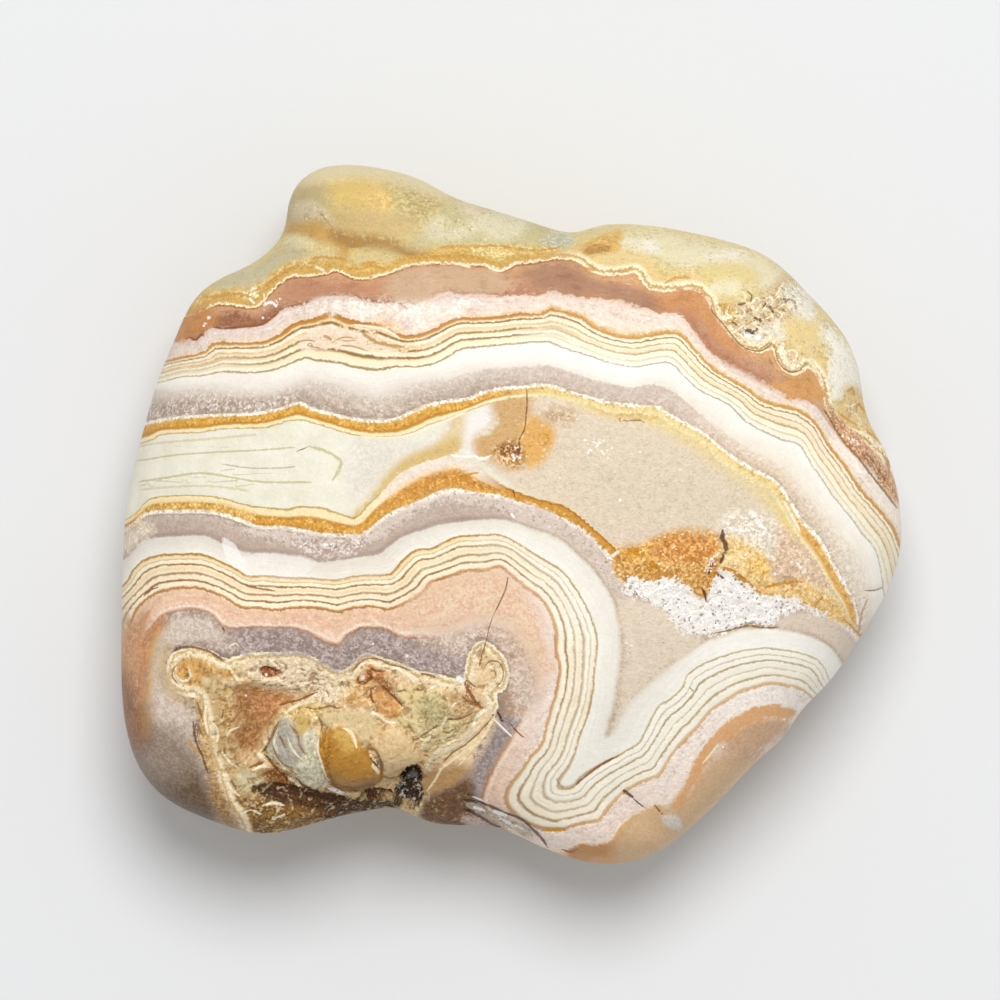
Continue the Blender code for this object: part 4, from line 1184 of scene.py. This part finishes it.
class Wire:
    """A socket of the material's nodes that takes part in Python sums."""

    def __init__(self, tree, socket=None):
        self.tree, self.socket = tree, socket

    def make(self, kind, settings=None, inputs=None, output=0):
        """A new node: its settings first, then its sockets' values or links; returns one output."""
        node = self.tree.nodes.new(kind)
        for name, value in (settings or {}).items():
            if name == "stops":
                fill_ramp(node.color_ramp, value)
            else:
                setattr(node, name, value)
        for name, value in (inputs or {}).items():
            if isinstance(value, Wire):
                self.tree.links.new(value.socket, node.inputs[name])
            else:
                node.inputs[name].default_value = value
        return Wire(self.tree, node.outputs[output])

    def other_output(self, name):
        return Wire(self.tree, self.socket.node.outputs[name])

    def maths(self, operation, *terms):
        return self.make("ShaderNodeMath", {"operation": operation}, dict(enumerate(terms)))

    def __add__(self, other):
        return self.maths("ADD", self, other)

    __radd__ = __add__

    def __sub__(self, other):
        return self.maths("SUBTRACT", self, other)

    def __rsub__(self, other):
        return self.maths("SUBTRACT", other, self)

    def __mul__(self, other):
        return self.maths("MULTIPLY", self, other)

    __rmul__ = __mul__

    def __truediv__(self, other):
        return self.maths("DIVIDE", self, other)

    def size(self):
        return self.maths("ABSOLUTE", self)

    def length(self):
        return self.make("ShaderNodeVectorMath", {"operation": "LENGTH"}, {0: self}, "Value")

    def step(self, low, high):
        """A smooth step from 0 at low to 1 at high, or the other way round if high is lower."""
        values = {"Value": self, "From Min": low, "From Max": high}
        return self.make("ShaderNodeMapRange", {"interpolation_type": "SMOOTHSTEP"}, values)

    def tint(self, base, over):
        """The base colour with the over colour laid on as much as this mask says."""
        return self.make("ShaderNodeMix", {"data_type": "RGBA"}, {0: self, 6: base, 7: over}, 2)

    def times_colour(self, other):
        settings = {"data_type": "RGBA", "blend_type": "MULTIPLY"}
        return self.make("ShaderNodeMix", settings, {0: 1.0, 6: self, 7: other}, 2)

    def ramp(self, stops):
        return self.make("ShaderNodeValToRGB", {"stops": stops}, {0: self})


def fill_ramp(ramp, stops):
    while len(ramp.elements) < len(stops):
        ramp.elements.new(1.0)
    for element, (place, shade) in zip(ramp.elements, stops, strict=True):
        element.position = place
        element.color = shade


def band_ramp(layer, stops):
    """Bands of colour between the first and the last of the stops, given as layers."""
    low, high = stops[0][0], stops[-1][0]
    share = (layer - low) * (1 / (high - low))
    return share.ramp([((at - low) / (high - low), colour(*shade)) for at, shade in stops])


CREAM, IVORY, WHITE = (246, 229, 188), (249, 240, 214), (241, 239, 233)
MUSTARD, BURNT = (218, 164, 68), (194, 134, 50)
FINE_LINE, BROWN_LINE, THICK_LINE = (170, 144, 96), (152, 114, 60), (198, 142, 74)
PEACH, PALE = (242, 218, 180), (250, 247, 236)

# Broad bands: layer and screen colour
ABOVE_LEFT = (
    (2.04, (170, 150, 136)), (2.25, (184, 166, 152)), (2.60, (206, 191, 178)), (2.95, (222, 211, 200)),
    (3.25, (234, 227, 218)), (3.60, (241, 236, 228)), (3.97, (244, 240, 226)), (4.02, CREAM),
    (4.98, CREAM), (5.04, (236, 214, 186)), (5.30, (230, 214, 202)), (5.70, (230, 212, 204)),
    (5.96, (228, 206, 194)), (6.02, (150, 104, 76)), (6.10, (178, 132, 104)), (6.40, (198, 150, 118)),
    (6.85, (206, 158, 116)), (6.95, (190, 142, 92)), (7.00, (218, 196, 136)), (7.40, (222, 206, 152)),
    (8.00, (224, 211, 164)),
)  # fmt: skip
ABOVE_RIGHT = (
    (2.04, (198, 178, 162)), (2.25, (208, 190, 176)), (2.60, (208, 192, 179)), (2.85, (205, 188, 175)),
    (2.95, (210, 196, 185)), (3.02, (231, 224, 214)), (3.50, (239, 235, 227)), (3.97, (248, 246, 238)),
    (4.02, CREAM), (4.98, CREAM), (5.04, (212, 166, 100)), (5.10, (232, 208, 166)),
    (5.20, (238, 222, 204)), (5.75, (234, 216, 204)), (5.96, (236, 212, 190)), (6.02, (184, 136, 102)),
    (6.10, (192, 142, 112)), (6.40, (198, 150, 120)), (6.85, (214, 166, 118)), (6.95, (206, 158, 104)),
    (7.00, (224, 206, 152)), (7.40, (228, 217, 170)), (8.00, (230, 221, 182)),
)  # fmt: skip
ABOVE_END = (
    (2.04, (198, 178, 156)), (2.20, (214, 194, 170)), (2.60, (226, 209, 188)), (2.90, (232, 217, 199)),
    (3.15, (238, 229, 215)), (3.96, (247, 245, 238)),
)  # fmt: skip
BELOW_LEFT = (
    (2.08, (204, 188, 177)), (2.40, (196, 178, 165)), (2.80, (191, 171, 157)), (2.96, (172, 152, 142)),
    (3.05, (178, 160, 149)), (3.12, (224, 217, 207)), (3.60, (234, 229, 219)), (3.97, (244, 240, 228)),
    (4.02, CREAM), (4.98, CREAM), (5.04, (234, 202, 172)), (5.40, (232, 192, 164)),
    (5.75, (234, 200, 176)), (5.88, (246, 228, 210)), (5.96, (216, 168, 136)), (6.01, (168, 124, 98)),
    (6.08, (172, 152, 140)), (6.50, (170, 152, 144)), (6.90, (156, 138, 128)), (6.97, (122, 102, 78)),
    (7.00, CREAM), (7.30, (222, 191, 138)), (8.00, (211, 178, 120)),
)  # fmt: skip
BELOW_RIGHT = (
    (2.08, (212, 196, 184)), (2.40, (210, 194, 180)), (2.85, (214, 198, 182)), (2.97, (194, 174, 150)),
    (3.03, (218, 209, 195)), (3.15, (236, 232, 222)), (3.60, (240, 237, 228)), (3.97, (244, 242, 232)),
    (4.02, CREAM), (4.98, CREAM), (5.04, (242, 226, 214)), (5.50, (240, 222, 212)),
    (5.80, (245, 227, 214)), (5.93, (248, 232, 212)), (5.97, (238, 200, 158)), (6.02, (230, 180, 126)),
    (6.08, (217, 164, 110)), (6.14, (212, 168, 122)), (6.30, (206, 166, 126)), (7.00, (194, 156, 116)),
    (8.00, (188, 150, 110)),
)  # fmt: skip

# The narrow bands next to the middle
INNER_ABOVE_LEFT = (
    (0.95, (216, 202, 160)), (0.985, (196, 168, 108)), (1.01, (200, 170, 106)), (1.05, CREAM),
    (1.18, (250, 234, 190)), (1.27, (204, 150, 68)), (1.36, BURNT), (1.50, MUSTARD),
    (1.80, (222, 172, 82)), (1.87, (234, 204, 148)), (1.91, IVORY), (1.99, IVORY),
    (2.03, (162, 142, 126)), (2.10, (174, 154, 140)),
)  # fmt: skip
INNER_ABOVE_RIGHT = (
    (0.90, (228, 212, 176)), (1.10, (236, 220, 168)), (1.40, (234, 210, 146)), (1.66, (234, 206, 140)),
    (1.80, (240, 220, 168)), (1.86, IVORY), (1.98, IVORY), (2.02, (192, 172, 154)),
    (2.10, (200, 181, 165)),
)  # fmt: skip
INNER_ABOVE_END = (
    (0.93, (234, 212, 170)), (1.00, (248, 232, 188)), (1.16, (246, 224, 168)), (1.26, (230, 186, 116)),
    (1.42, (226, 172, 94)), (1.72, (230, 182, 108)), (1.80, (246, 224, 174)), (1.86, IVORY),
    (1.98, IVORY), (2.02, (184, 162, 142)), (2.10, (200, 182, 166)),
)  # fmt: skip
INNER_BELOW_LEFT = (
    (0.93, (224, 218, 190)), (0.975, (188, 162, 104)), (1.02, (196, 166, 92)), (1.06, CREAM),
    (1.33, (246, 226, 178)), (1.40, (212, 158, 76)), (1.48, (198, 140, 58)), (1.58, MUSTARD),
    (1.82, (208, 150, 62)), (1.92, (202, 148, 80)), (1.96, IVORY), (2.04, IVORY),
    (2.08, (176, 158, 148)), (2.20, (200, 186, 178)),
)  # fmt: skip
INNER_BELOW_WIDE = (
    (0.96, (228, 212, 172)), (1.02, (238, 224, 204)), (1.22, (236, 224, 212)), (1.34, (240, 214, 176)),
    (1.44, (218, 162, 88)), (1.58, (206, 144, 62)), (1.75, (212, 154, 70)), (1.93, (214, 164, 88)),
    (1.98, IVORY), (2.06, (238, 230, 218)), (2.20, (210, 194, 184)),
)  # fmt: skip
INNER_BELOW_RIGHT = (
    (0.96, (226, 202, 156)), (1.00, (238, 214, 160)), (1.06, (170, 112, 46)), (1.22, (204, 146, 60)),
    (1.70, (210, 154, 62)), (1.84, (194, 134, 52)), (1.92, (244, 236, 224)), (2.06, (242, 236, 230)),
    (2.20, (210, 194, 184)),
)  # fmt: skip

# The lines in the cream band between layers 4 and 5
LINES_ABOVE = (
    (3.94, (244, 240, 228)), (3.98, FINE_LINE), (4.02, FINE_LINE), (4.055, IVORY), (4.21, CREAM),
    (4.255, BROWN_LINE), (4.29, BROWN_LINE), (4.33, IVORY), (4.43, CREAM), (4.465, BROWN_LINE),
    (4.50, BROWN_LINE), (4.54, PEACH), (4.65, (226, 202, 156)), (4.69, IVORY), (4.74, IVORY),
    (4.775, BROWN_LINE), (4.81, BROWN_LINE), (4.84, (238, 216, 168)), (4.865, (232, 206, 152)),
    (4.89, THICK_LINE), (4.98, (180, 120, 46)), (5.03, (240, 226, 214)),
)  # fmt: skip
LINES_ABOVE_SOFT = (
    (3.94, (248, 246, 240)), (3.99, (182, 172, 148)), (4.01, (182, 172, 148)), (4.045, WHITE),
    (4.14, IVORY), (4.20, (204, 194, 170)), (4.23, IVORY), (4.37, IVORY), (4.40, (176, 156, 118)),
    (4.42, (176, 156, 118)), (4.455, PEACH), (4.58, (248, 232, 202)), (4.62, FINE_LINE),
    (4.65, (248, 232, 202)), (4.76, (248, 234, 206)), (4.795, BROWN_LINE), (4.81, BROWN_LINE),
    (4.84, IVORY), (4.89, (252, 240, 206)), (4.92, (204, 152, 86)), (4.97, (202, 150, 84)),
    (5.02, (214, 170, 108)),
)  # fmt: skip
LINES_BELOW = (
    (3.94, (242, 236, 222)), (3.975, (176, 128, 66)), (4.02, (182, 136, 74)), (4.06, (241, 218, 168)),
    (4.12, (245, 228, 186)), (4.15, (206, 172, 118)), (4.18, IVORY), (4.25, IVORY),
    (4.28, (156, 114, 60)), (4.30, (156, 114, 60)), (4.335, (250, 234, 200)), (4.42, (240, 214, 170)),
    (4.48, IVORY), (4.53, (174, 136, 86)), (4.55, (174, 136, 86)), (4.59, (248, 232, 200)),
    (4.69, (250, 236, 206)), (4.725, (152, 108, 56)), (4.745, (152, 108, 56)), (4.785, IVORY),
    (4.88, (250, 234, 200)), (4.925, (192, 138, 82)), (4.97, (178, 122, 68)), (5.02, (238, 206, 180)),
)  # fmt: skip
LINES_BELOW_SOFT = (
    (3.94, (243, 242, 235)), (3.99, (190, 172, 130)), (4.01, (190, 172, 130)), (4.04, PALE),
    (4.14, PALE), (4.17, (200, 190, 162)), (4.20, PALE), (4.29, PALE), (4.32, (180, 158, 116)),
    (4.335, (180, 158, 116)), (4.37, PALE), (4.50, (248, 243, 226)), (4.53, (206, 194, 164)),
    (4.56, PALE), (4.68, (249, 243, 226)), (4.715, (186, 164, 122)), (4.73, (186, 164, 122)),
    (4.77, PALE), (4.88, (248, 242, 226)), (4.92, (222, 192, 152)), (4.97, (216, 180, 136)),
    (5.02, (243, 229, 218)),
)  # fmt: skip

# The fine lines where the rim and the host rock begin
EDGE_ABOVE = (
    (6.88, (186, 130, 92)), (6.95, (156, 104, 66)), (6.975, (206, 168, 110)), (6.99, (252, 238, 200)),
    (7.025, (252, 240, 204)), (7.036, (214, 178, 104)), (7.08, (206, 164, 88)), (7.16, (214, 176, 100)),
    (7.30, (216, 188, 120)), (7.50, (214, 196, 138)),
)  # fmt: skip
EDGE_ABOVE_DOUBLE = (
    (6.88, (213, 163, 114)), (6.96, (210, 160, 106)), (6.98, (251, 238, 204)), (7.028, (251, 238, 204)),
    (7.045, (214, 182, 126)), (7.062, (198, 160, 102)), (7.08, (216, 184, 128)),
    (7.10, (249, 238, 204)), (7.135, (248, 236, 198)), (7.16, (230, 204, 144)), (7.30, (224, 202, 142)),
    (7.50, (220, 206, 156)),
)  # fmt: skip
EDGE_BELOW = (
    (6.88, (160, 144, 130)), (6.96, (156, 130, 102)), (6.98, (250, 242, 218)), (7.022, (250, 242, 218)),
    (7.04, (226, 202, 154)), (7.065, (204, 172, 124)), (7.085, (228, 204, 158)),
    (7.11, (248, 234, 202)), (7.145, (238, 216, 176)), (7.20, (234, 206, 164)), (7.40, (228, 198, 152)),
    (7.50, (220, 190, 142)),
)  # fmt: skip


class Surface:
    """What the paint is worked out from: values kept on the mesh, and noises from about -1 to 1."""

    def __init__(self, wire):
        self.wire = wire
        self.place = wire.make("ShaderNodeTexCoord", output="Object")
        self.layer, self.width = self.field("layer"), self.field("band width")
        self.along, self.across, self.grit = self.field("along"), self.field("across"), self.field("grit")
        self.fine, self.middling = self.cloud(1 / FINE, 1.0), self.cloud(1 / MIDDLING, 1.0)
        self.broad, self.slow = self.cloud(1 / BROAD, 3.0), self.cloud(1 / SLOW, 1.0)
        self.streaks, self.fibres = self.drawn_out(*STREAKS, detail=2.0), self.drawn_out(*FIBRES)
        self.laminae = self.drawn_out(*LAMINAE)
        self.scallops = self.cloud(1.0, 1.0, self.join(self.along / SCALLOP, 2.5)).size()
        grains = {"Vector": self.place, "Scale": 1 / GRAIN}
        grains = wire.make("ShaderNodeTexVoronoi", {"feature": "F1"}, grains, "Color")
        self.grain = wire.make("ShaderNodeSeparateColor", None, {0: grains}) - 0.5
        self.level = self.ragged_layer()
        self.upper_half = self.layer.step(-1, 1)
        self.in_six = self.between(5.97, 6.03, 6.96, 7.0)
        self.in_host = self.level.step(-7.14, -7.19)

    def field(self, name, output="Fac"):
        """A value that the mesh keeps for each of its points."""
        return self.wire.make("ShaderNodeAttribute", {"attribute_name": name}, output=output)

    def cloud(self, scale, detail, vector=None):
        values = {"Vector": vector or self.place, "Scale": scale, "Detail": detail, "Roughness": 0.55}
        return (self.wire.make("ShaderNodeTexNoise", None, values) - 0.5) * 3.4

    def drawn_out(self, length, changes, apart, detail=1.0):
        place = self.join(self.along / length, self.layer * changes, apart)
        return self.cloud(1.0, detail, place)

    def join(self, x, y, z=0.0):
        return self.wire.make("ShaderNodeCombineXYZ", None, {0: x, 1: y, 2: z})

    def mix(self, **shares):
        """The sum of the named noises, each times its share."""
        terms = [getattr(self, name) * share for name, share in shares.items()]
        return sum(terms[1:], terms[0])

    def ragged_layer(self):
        """The layer as it looks, with the borders of the bands made uneven."""
        near_seven = 1.0 - (self.layer.size() - 7.03).size().step(0.05, 0.13)
        rough = self.grain * (0.8 - near_seven * 0.5)
        wander = (self.mix(middling=0.8, fine=0.5) + rough) * self.field("wobble")
        wander = wander + self.scallops * near_seven * 2.4
        return self.layer + wander / self.width * (self.layer.step(-0.1, 0.1) * 2.0 - 1.0)

    def between(self, start, full, fading, end):
        """A mask of the bands between two layers, on both sides of the middle."""
        level = self.level.size()
        return level.step(start, full) * level.step(end, fading)

    def sided(self, below, above):
        """One colour below the middle and another above it."""
        return self.upper_half.tint(colour(*below), colour(*above))


def band_paint(s):
    """The bands from the middle out: broad ramps, with finer ones where the lines are."""
    above, below, across = s.level, 0.0 - s.level, s.across

    def from_to(start, end, level, left, right):
        """One ramp that goes over into another from left to right."""
        return across.step(start, end).tint(band_ramp(level, left), band_ramp(level, right))

    upper = from_to(420, 600, above, ABOVE_LEFT, ABOVE_RIGHT)
    far_off = across.step(640, 760) * above.step(3.94, 3.90)
    upper = far_off.tint(upper, band_ramp(above, ABOVE_END))
    # Painted light: the upper bands paler towards the right end
    upper = (across.step(790, 860) * 0.4).tint(upper, colour(255, 250, 240))
    lower = from_to(470, 550, below, BELOW_LEFT, BELOW_RIGHT)
    lower = (across.step(620, 760) * below.step(3.0, 3.2) * 0.6).tint(lower, colour(252, 250, 244))
    inner_above = from_to(470, 570, above, INNER_ABOVE_LEFT, INNER_ABOVE_RIGHT)
    inner_above = across.step(770, 815).tint(inner_above, band_ramp(above, INNER_ABOVE_END))
    inner_below = from_to(366, 400, below, INNER_BELOW_LEFT, INNER_BELOW_WIDE)
    inner_below = across.step(476, 510).tint(inner_below, band_ramp(below, INNER_BELOW_RIGHT))
    faint = (across * 0.0055 + s.slow * 0.35 + s.streaks * 0.12).step(2.3, 3.6)
    faint = faint + across.step(310, 200) * s.upper_half * 0.55
    lines_above = faint.tint(band_ramp(above, LINES_ABOVE), band_ramp(above, LINES_ABOVE_SOFT))
    lines_below = faint.tint(band_ramp(below, LINES_BELOW), band_ramp(below, LINES_BELOW_SOFT))
    edge_above = from_to(540, 600, above, EDGE_ABOVE, EDGE_ABOVE_DOUBLE)
    upper = above.step(2.08, 2.06).tint(upper, inner_above)
    upper = (above.step(3.94, 3.95) * above.step(5.03, 5.02)).tint(upper, lines_above)
    upper = above.step(6.89, 6.90).tint(upper, edge_above)
    lower = below.step(2.16, 2.14).tint(lower, inner_below)
    lower = (below.step(3.94, 3.95) * below.step(5.02, 5.01)).tint(lower, lines_below)
    lower = below.step(6.89, 6.90).tint(lower, band_ramp(below, EDGE_BELOW))
    return s.layer.step(-0.01, 0.01).tint(lower, upper)


def lay_wear(s, paint):
    """Worn fine lines, paler to the right as painted light, mustard flecks, and streaks in bands five and
    six.
    """
    in_lines, in_mustard = s.between(3.95, 4.0, 4.86, 4.9), s.between(1.35, 1.42, 1.86, 1.92)
    in_five = s.between(5.02, 5.1, 5.95, 6.0)
    worn = s.mix(streaks=0.8, middling=0.5, grain=0.7, broad=0.3).step(0.0, 1.5)
    worn = worn * (1.0 - s.layer.step(1, -1) * s.across.step(460, 280) * 0.5)
    # Painted light: the fine lines paler towards the right end
    painted_light_end = s.across.step(740, 860) * 0.3
    paint = (in_lines * (worn + painted_light_end) * 0.7).tint(paint, colour(252, 243, 220))
    flecks = s.mix(fibres=0.6, grain=1.2, middling=0.4).step(0.2, 1.1)
    paint = (in_mustard * flecks * 0.55).tint(paint, colour(240, 206, 128))
    burn = s.mix(fibres=0.5, grain=1.0, broad=0.5).step(-0.2, -1.1)
    paint = (in_mustard * burn * 0.55).tint(paint, colour(176, 112, 34))
    dark = s.mix(streaks=0.9, grain=0.3, broad=0.9, middling=0.5).step(0.2, 1.5)
    paint = (s.in_six * dark * 0.75).tint(paint, s.sided((104, 88, 92), (120, 70, 44)))
    light = s.mix(grain=0.3, middling=0.8, laminae=0.6, broad=-0.5).step(0.3, 1.5)
    paint = (s.in_six * light * 0.6).tint(paint, s.sided((212, 200, 196), (232, 190, 150)))
    flush = s.mix(streaks=0.9, grain=0.4, broad=0.5, middling=0.5).step(0.0, 1.2)
    paint = (in_five * flush * 0.4).tint(paint, s.sided((250, 226, 190), (252, 246, 240)))
    blush = s.mix(streaks=0.7, grain=0.5, middling=0.6, broad=0.4).step(-0.1, -1.2)
    return (in_five * blush * 0.4).tint(paint, colour(206, 150, 116))


def lay_fringe(s, paint):
    """The white crystals along the second layer, and the pale lens inside the first."""
    past_two = (s.layer.size() - 2.0) * s.width
    reach = 1.0 + s.layer.step(0, -1) * s.across.step(350, 420) * s.across.step(660, 600) * 1.4
    sharp = 2.4 - s.across.step(400, 450) * s.upper_half * 1.5
    fringe = (past_two - (s.scallops * 2.4 + s.broad * 0.7) * reach + s.grain * sharp).step(0.8, -0.6)
    fringe = fringe * past_two.step(-3.2, -1.6)
    fringe = fringe * s.mix(broad=0.5, streaks=0.5).step(-1.6, -0.2)
    crystal = s.grain.step(-0.5, 0.2).tint(colour(226, 208, 176), colour(253, 249, 240))
    paint = (fringe * 0.9).tint(paint, crystal)
    lens = s.broad.step(-0.9, 0.9).tint(colour(231, 228, 208), colour(238, 235, 221))
    return s.level.size().step(0.99, 0.96).tint(paint, lens)


def lay_patches(s, paint):
    """The groups of patches, each inside the zone that holds it."""
    ragged = s.mix(broad=0.7, middling=0.6, fine=0.3, grain=0.6)
    speckle = s.mix(broad=0.3, middling=0.4, grain=1.3).step(-0.6, 0.8)
    middle, rim = s.level.size().step(1.0, 0.97), s.level.step(7.13, 7.17)
    holds = {"middle": middle, "rim": rim, "rim chips": rim}
    holds.update(dict.fromkeys(("host", "host shapes", "host details"), s.in_host))
    for group, (_, crisp) in GROUPS.items():
        tone, fleck = s.field(group + " tone", "Color"), s.field(group + " fleck", "Color")
        cover, rag = tone.other_output("Alpha"), fleck.other_output("Alpha")
        if crisp:
            mask = (s.field(group + " depth") + ragged * rag).step(-0.9, 0.9) * cover
        else:
            mask = (cover + ragged * rag).step(0.12, 0.88)
        if group in holds:
            mask = mask * holds[group]
        paint = mask.tint(paint, speckle.tint(tone, fleck))
    return paint


def lay_rock(s, paint):
    """Folds and glows in the rust band over the middle; painted shade and highlights on the crags."""
    in_rust = s.in_six * s.upper_half
    folds = s.mix(streaks=0.8, broad=0.9, laminae=0.3).step(0.1, 1.3)
    paint = (in_rust * folds * 0.45).tint(paint, colour(134, 92, 68))
    glows = s.mix(laminae=0.8, middling=0.4, broad=-0.7).step(0.3, 1.5)
    paint = (in_rust * glows * 0.4).tint(paint, colour(234, 206, 178))
    crag = s.field("crag") + s.mix(middling=0.22, fine=0.14) * s.in_host
    # Painted shade in the crags' low parts, then painted highlights on their high parts
    paint = (crag.step(-0.05, -0.75) * 0.6).tint(paint, colour(144, 100, 48))
    return (crag.step(0.10, 0.80) * 0.5).tint(paint, colour(240, 222, 180))


def lay_marks(s, paint):
    """The fine marks, broken here and there."""
    broken = s.mix(middling=0.5, grain=1.0, streaks=0.3).step(-1.3, -0.3)
    for group, strength in MARK_STRENGTH.items():
        tone = s.field(group + " marks tone", "Color")
        off = s.field(group + " marks offset", "Vector").length() + s.middling * 0.3 + s.grain * 0.45
        close = tone.other_output("Alpha").step(4.5, 3.0)
        paint = (off.step(1.35, 0.55) * broken * close * strength).tint(paint, tone)
    return paint


def lay_grain(s, paint):
    """Pits, sparks and crystals, and the unevenness of the whole stone."""
    calm = 1.0 - s.in_six * 0.75
    gritty, crystals = s.grit.step(0.7, 1.1), s.grit.step(1.22, 1.28)
    paint = (s.grain.step(-0.455, -0.49) * gritty * calm * 0.26).tint(paint, colour(126, 92, 60))
    paint = (s.grain.step(0.455, 0.49) * gritty * calm * 0.26).tint(paint, colour(255, 250, 238))
    paint = (s.grain.step(-0.38, -0.46) * crystals * 0.5).tint(paint, colour(118, 98, 82))
    paint = (s.grain.step(0.30, 0.42) * crystals * 0.6).tint(paint, colour(255, 254, 250))
    shade = 1.0 + s.grit * s.mix(grain=0.32, fine=0.10, middling=0.11) + s.broad * 0.035
    shade = shade + s.mix(streaks=0.035, laminae=0.03) * s.layer.size().step(1.0, 1.1)
    return paint.times_colour(s.join(shade * 1.02, shade * 1.12 - 0.12, (shade * 1.35 - 0.35) * 0.97))


def stone_material():
    material = bpy.data.materials.new("banded agate")
    material.use_nodes = True
    tree = material.node_tree
    shader = tree.nodes["Principled BSDF"]
    s = Surface(Wire(tree))
    paint = band_paint(s)
    for lay in (lay_wear, lay_fringe, lay_patches, lay_rock, lay_marks, lay_grain):
        paint = lay(s, paint)
    roughness = SMOOTH_ROUGHNESS + GRIT_ROUGHNESS * s.grit + 0.05 * s.middling
    height = s.mix(grain=1.3, fine=0.4, middling=0.5) * (0.12 + s.grit)
    values = {"Strength": BUMP_STRENGTH, "Distance": BUMP_DEPTH, "Height": height}
    bump = s.wire.make("ShaderNodeBump", None, values)
    for socket, wire in (("Base Color", paint), ("Roughness", roughness), ("Normal", bump)):
        tree.links.new(wire.socket, shader.inputs[socket])
    shader.inputs["IOR"].default_value = REFRACTION
    shader.inputs["Specular IOR Level"].default_value = GLOSS
    return material


def lay_out(mesh):
    """A map of two islands for the baked pictures: the face above, the underside below."""
    faces = mesh.polygons
    up = read_values(faces, "normal")[:, 2] >= 0
    per_face = np.zeros(len(faces), np.int32)
    faces.foreach_get("loop_total", per_face)
    loop_up = np.repeat(up, per_face)
    corner = np.zeros(len(mesh.loops), np.int32)
    mesh.loops.foreach_get("vertex_index", corner)
    points, normals = read_values(mesh.vertices, "co"), read_values(mesh.vertices, "normal")
    plan = (points[:, :2] + normals[:, :2] * MAP_PUSH)[corner]
    plan[:, 0] *= np.where(loop_up, 1, -1)
    low, high = plan.min(0), plan.max(0)
    share = (plan - low) / (high - low)
    base = np.where(loop_up, FACE_ISLAND[0], BACK_ISLAND[0])
    tall = np.where(loop_up, FACE_ISLAND[1] - FACE_ISLAND[0], BACK_ISLAND[1] - BACK_ISLAND[0])
    spots = np.stack((0.01 + 0.98 * share[:, 0], base + share[:, 1] * tall), axis=1)
    layer = mesh.uv_layers.new(name="face and back")
    layer.data.foreach_set("uv", spots.astype(np.float32).ravel())


def make_stone():
    mesh = even_mesh()
    refine(mesh)
    at = pattern_places(read_values(mesh.vertices, "co"))
    layer, width, along = layers(at)
    depths = {}
    for patches, _ in GROUPS.values():
        depths.update({name: outline_depth(at, patch[-1]) for name, patch in patches.items()})
    gaps = {}
    for name, marks_by_colour in STROKES.items():
        offset, tone = mark_fields(at, marks_by_colour)
        gaps[name] = tone[:, 3]
        store(mesh, name + " marks offset", offset)
        store(mesh, name + " marks tone", tone)
    lay_out(mesh)
    store(mesh, "crag", add_relief(mesh, at, layer, depths, gaps))
    store(mesh, "layer", layer)
    store(mesh, "band width", width)
    store(mesh, "along", along)
    store(mesh, "wobble", wobble(layer))
    store(mesh, "grit", grittiness(layer, depths))
    store(mesh, "across", at[:, 0])
    store_patches(mesh, depths)
    mesh.name = "agate"
    mesh.shade_smooth()
    mesh.materials.clear()
    mesh.materials.append(stone_material())
    stone = link("agate", mesh)
    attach(stone, "root")
    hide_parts(STONE)


def plain_material(name, shade, roughness):
    material = bpy.data.materials.new(name)
    material.use_nodes = True
    shader = material.node_tree.nodes["Principled BSDF"]
    shader.inputs["Base Color"].default_value = colour(*shade)
    shader.inputs["Roughness"].default_value = roughness
    return material


def make_studio():
    floor = bmesh.new()
    bmesh.ops.create_grid(floor, x_segments=1, y_segments=1, size=FLOOR_REACH)
    mesh = bpy.data.meshes.new("floor")
    floor.to_mesh(mesh)
    floor.free()
    mesh.materials.append(plain_material("pale card", CARD, 0.9))
    link("floor", mesh)
    world = bpy.data.worlds.new("soft room")
    world.use_nodes = True
    background = world.node_tree.nodes["Background"]
    background.inputs["Color"].default_value = (1, 1, 1, 1)
    background.inputs["Strength"].default_value = ROOM_LIGHT
    bpy.context.scene.world = world
    light = bpy.data.lights.new("window", "AREA")
    light.shape = "DISK"
    light.size = WINDOW_WIDTH
    light.energy = WINDOW_POWER
    window = link("window", light)
    window.location = WINDOW_PLACE
    window.rotation_euler = (-window.location).to_track_quat("-Z", "Y").to_euler()


def make_camera():
    lens = bpy.data.cameras.new("camera")
    lens.sensor_width = 36
    lens.lens = lens.sensor_width * CAMERA_RISE / (PHOTO_SIDE * PIXEL)
    camera = link("camera", lens)
    camera.location = camera_place()
    bpy.context.scene.camera = camera


# Blender's own first objects aren't part of the picture
for leftover in [thing for thing in bpy.data.objects if thing.name in ("Cube", "Light", "Camera")]:
    bpy.data.objects.remove(leftover)
bpy.context.scene.view_settings.view_transform = "Standard"
make_camera()
make_studio()
make_stone()
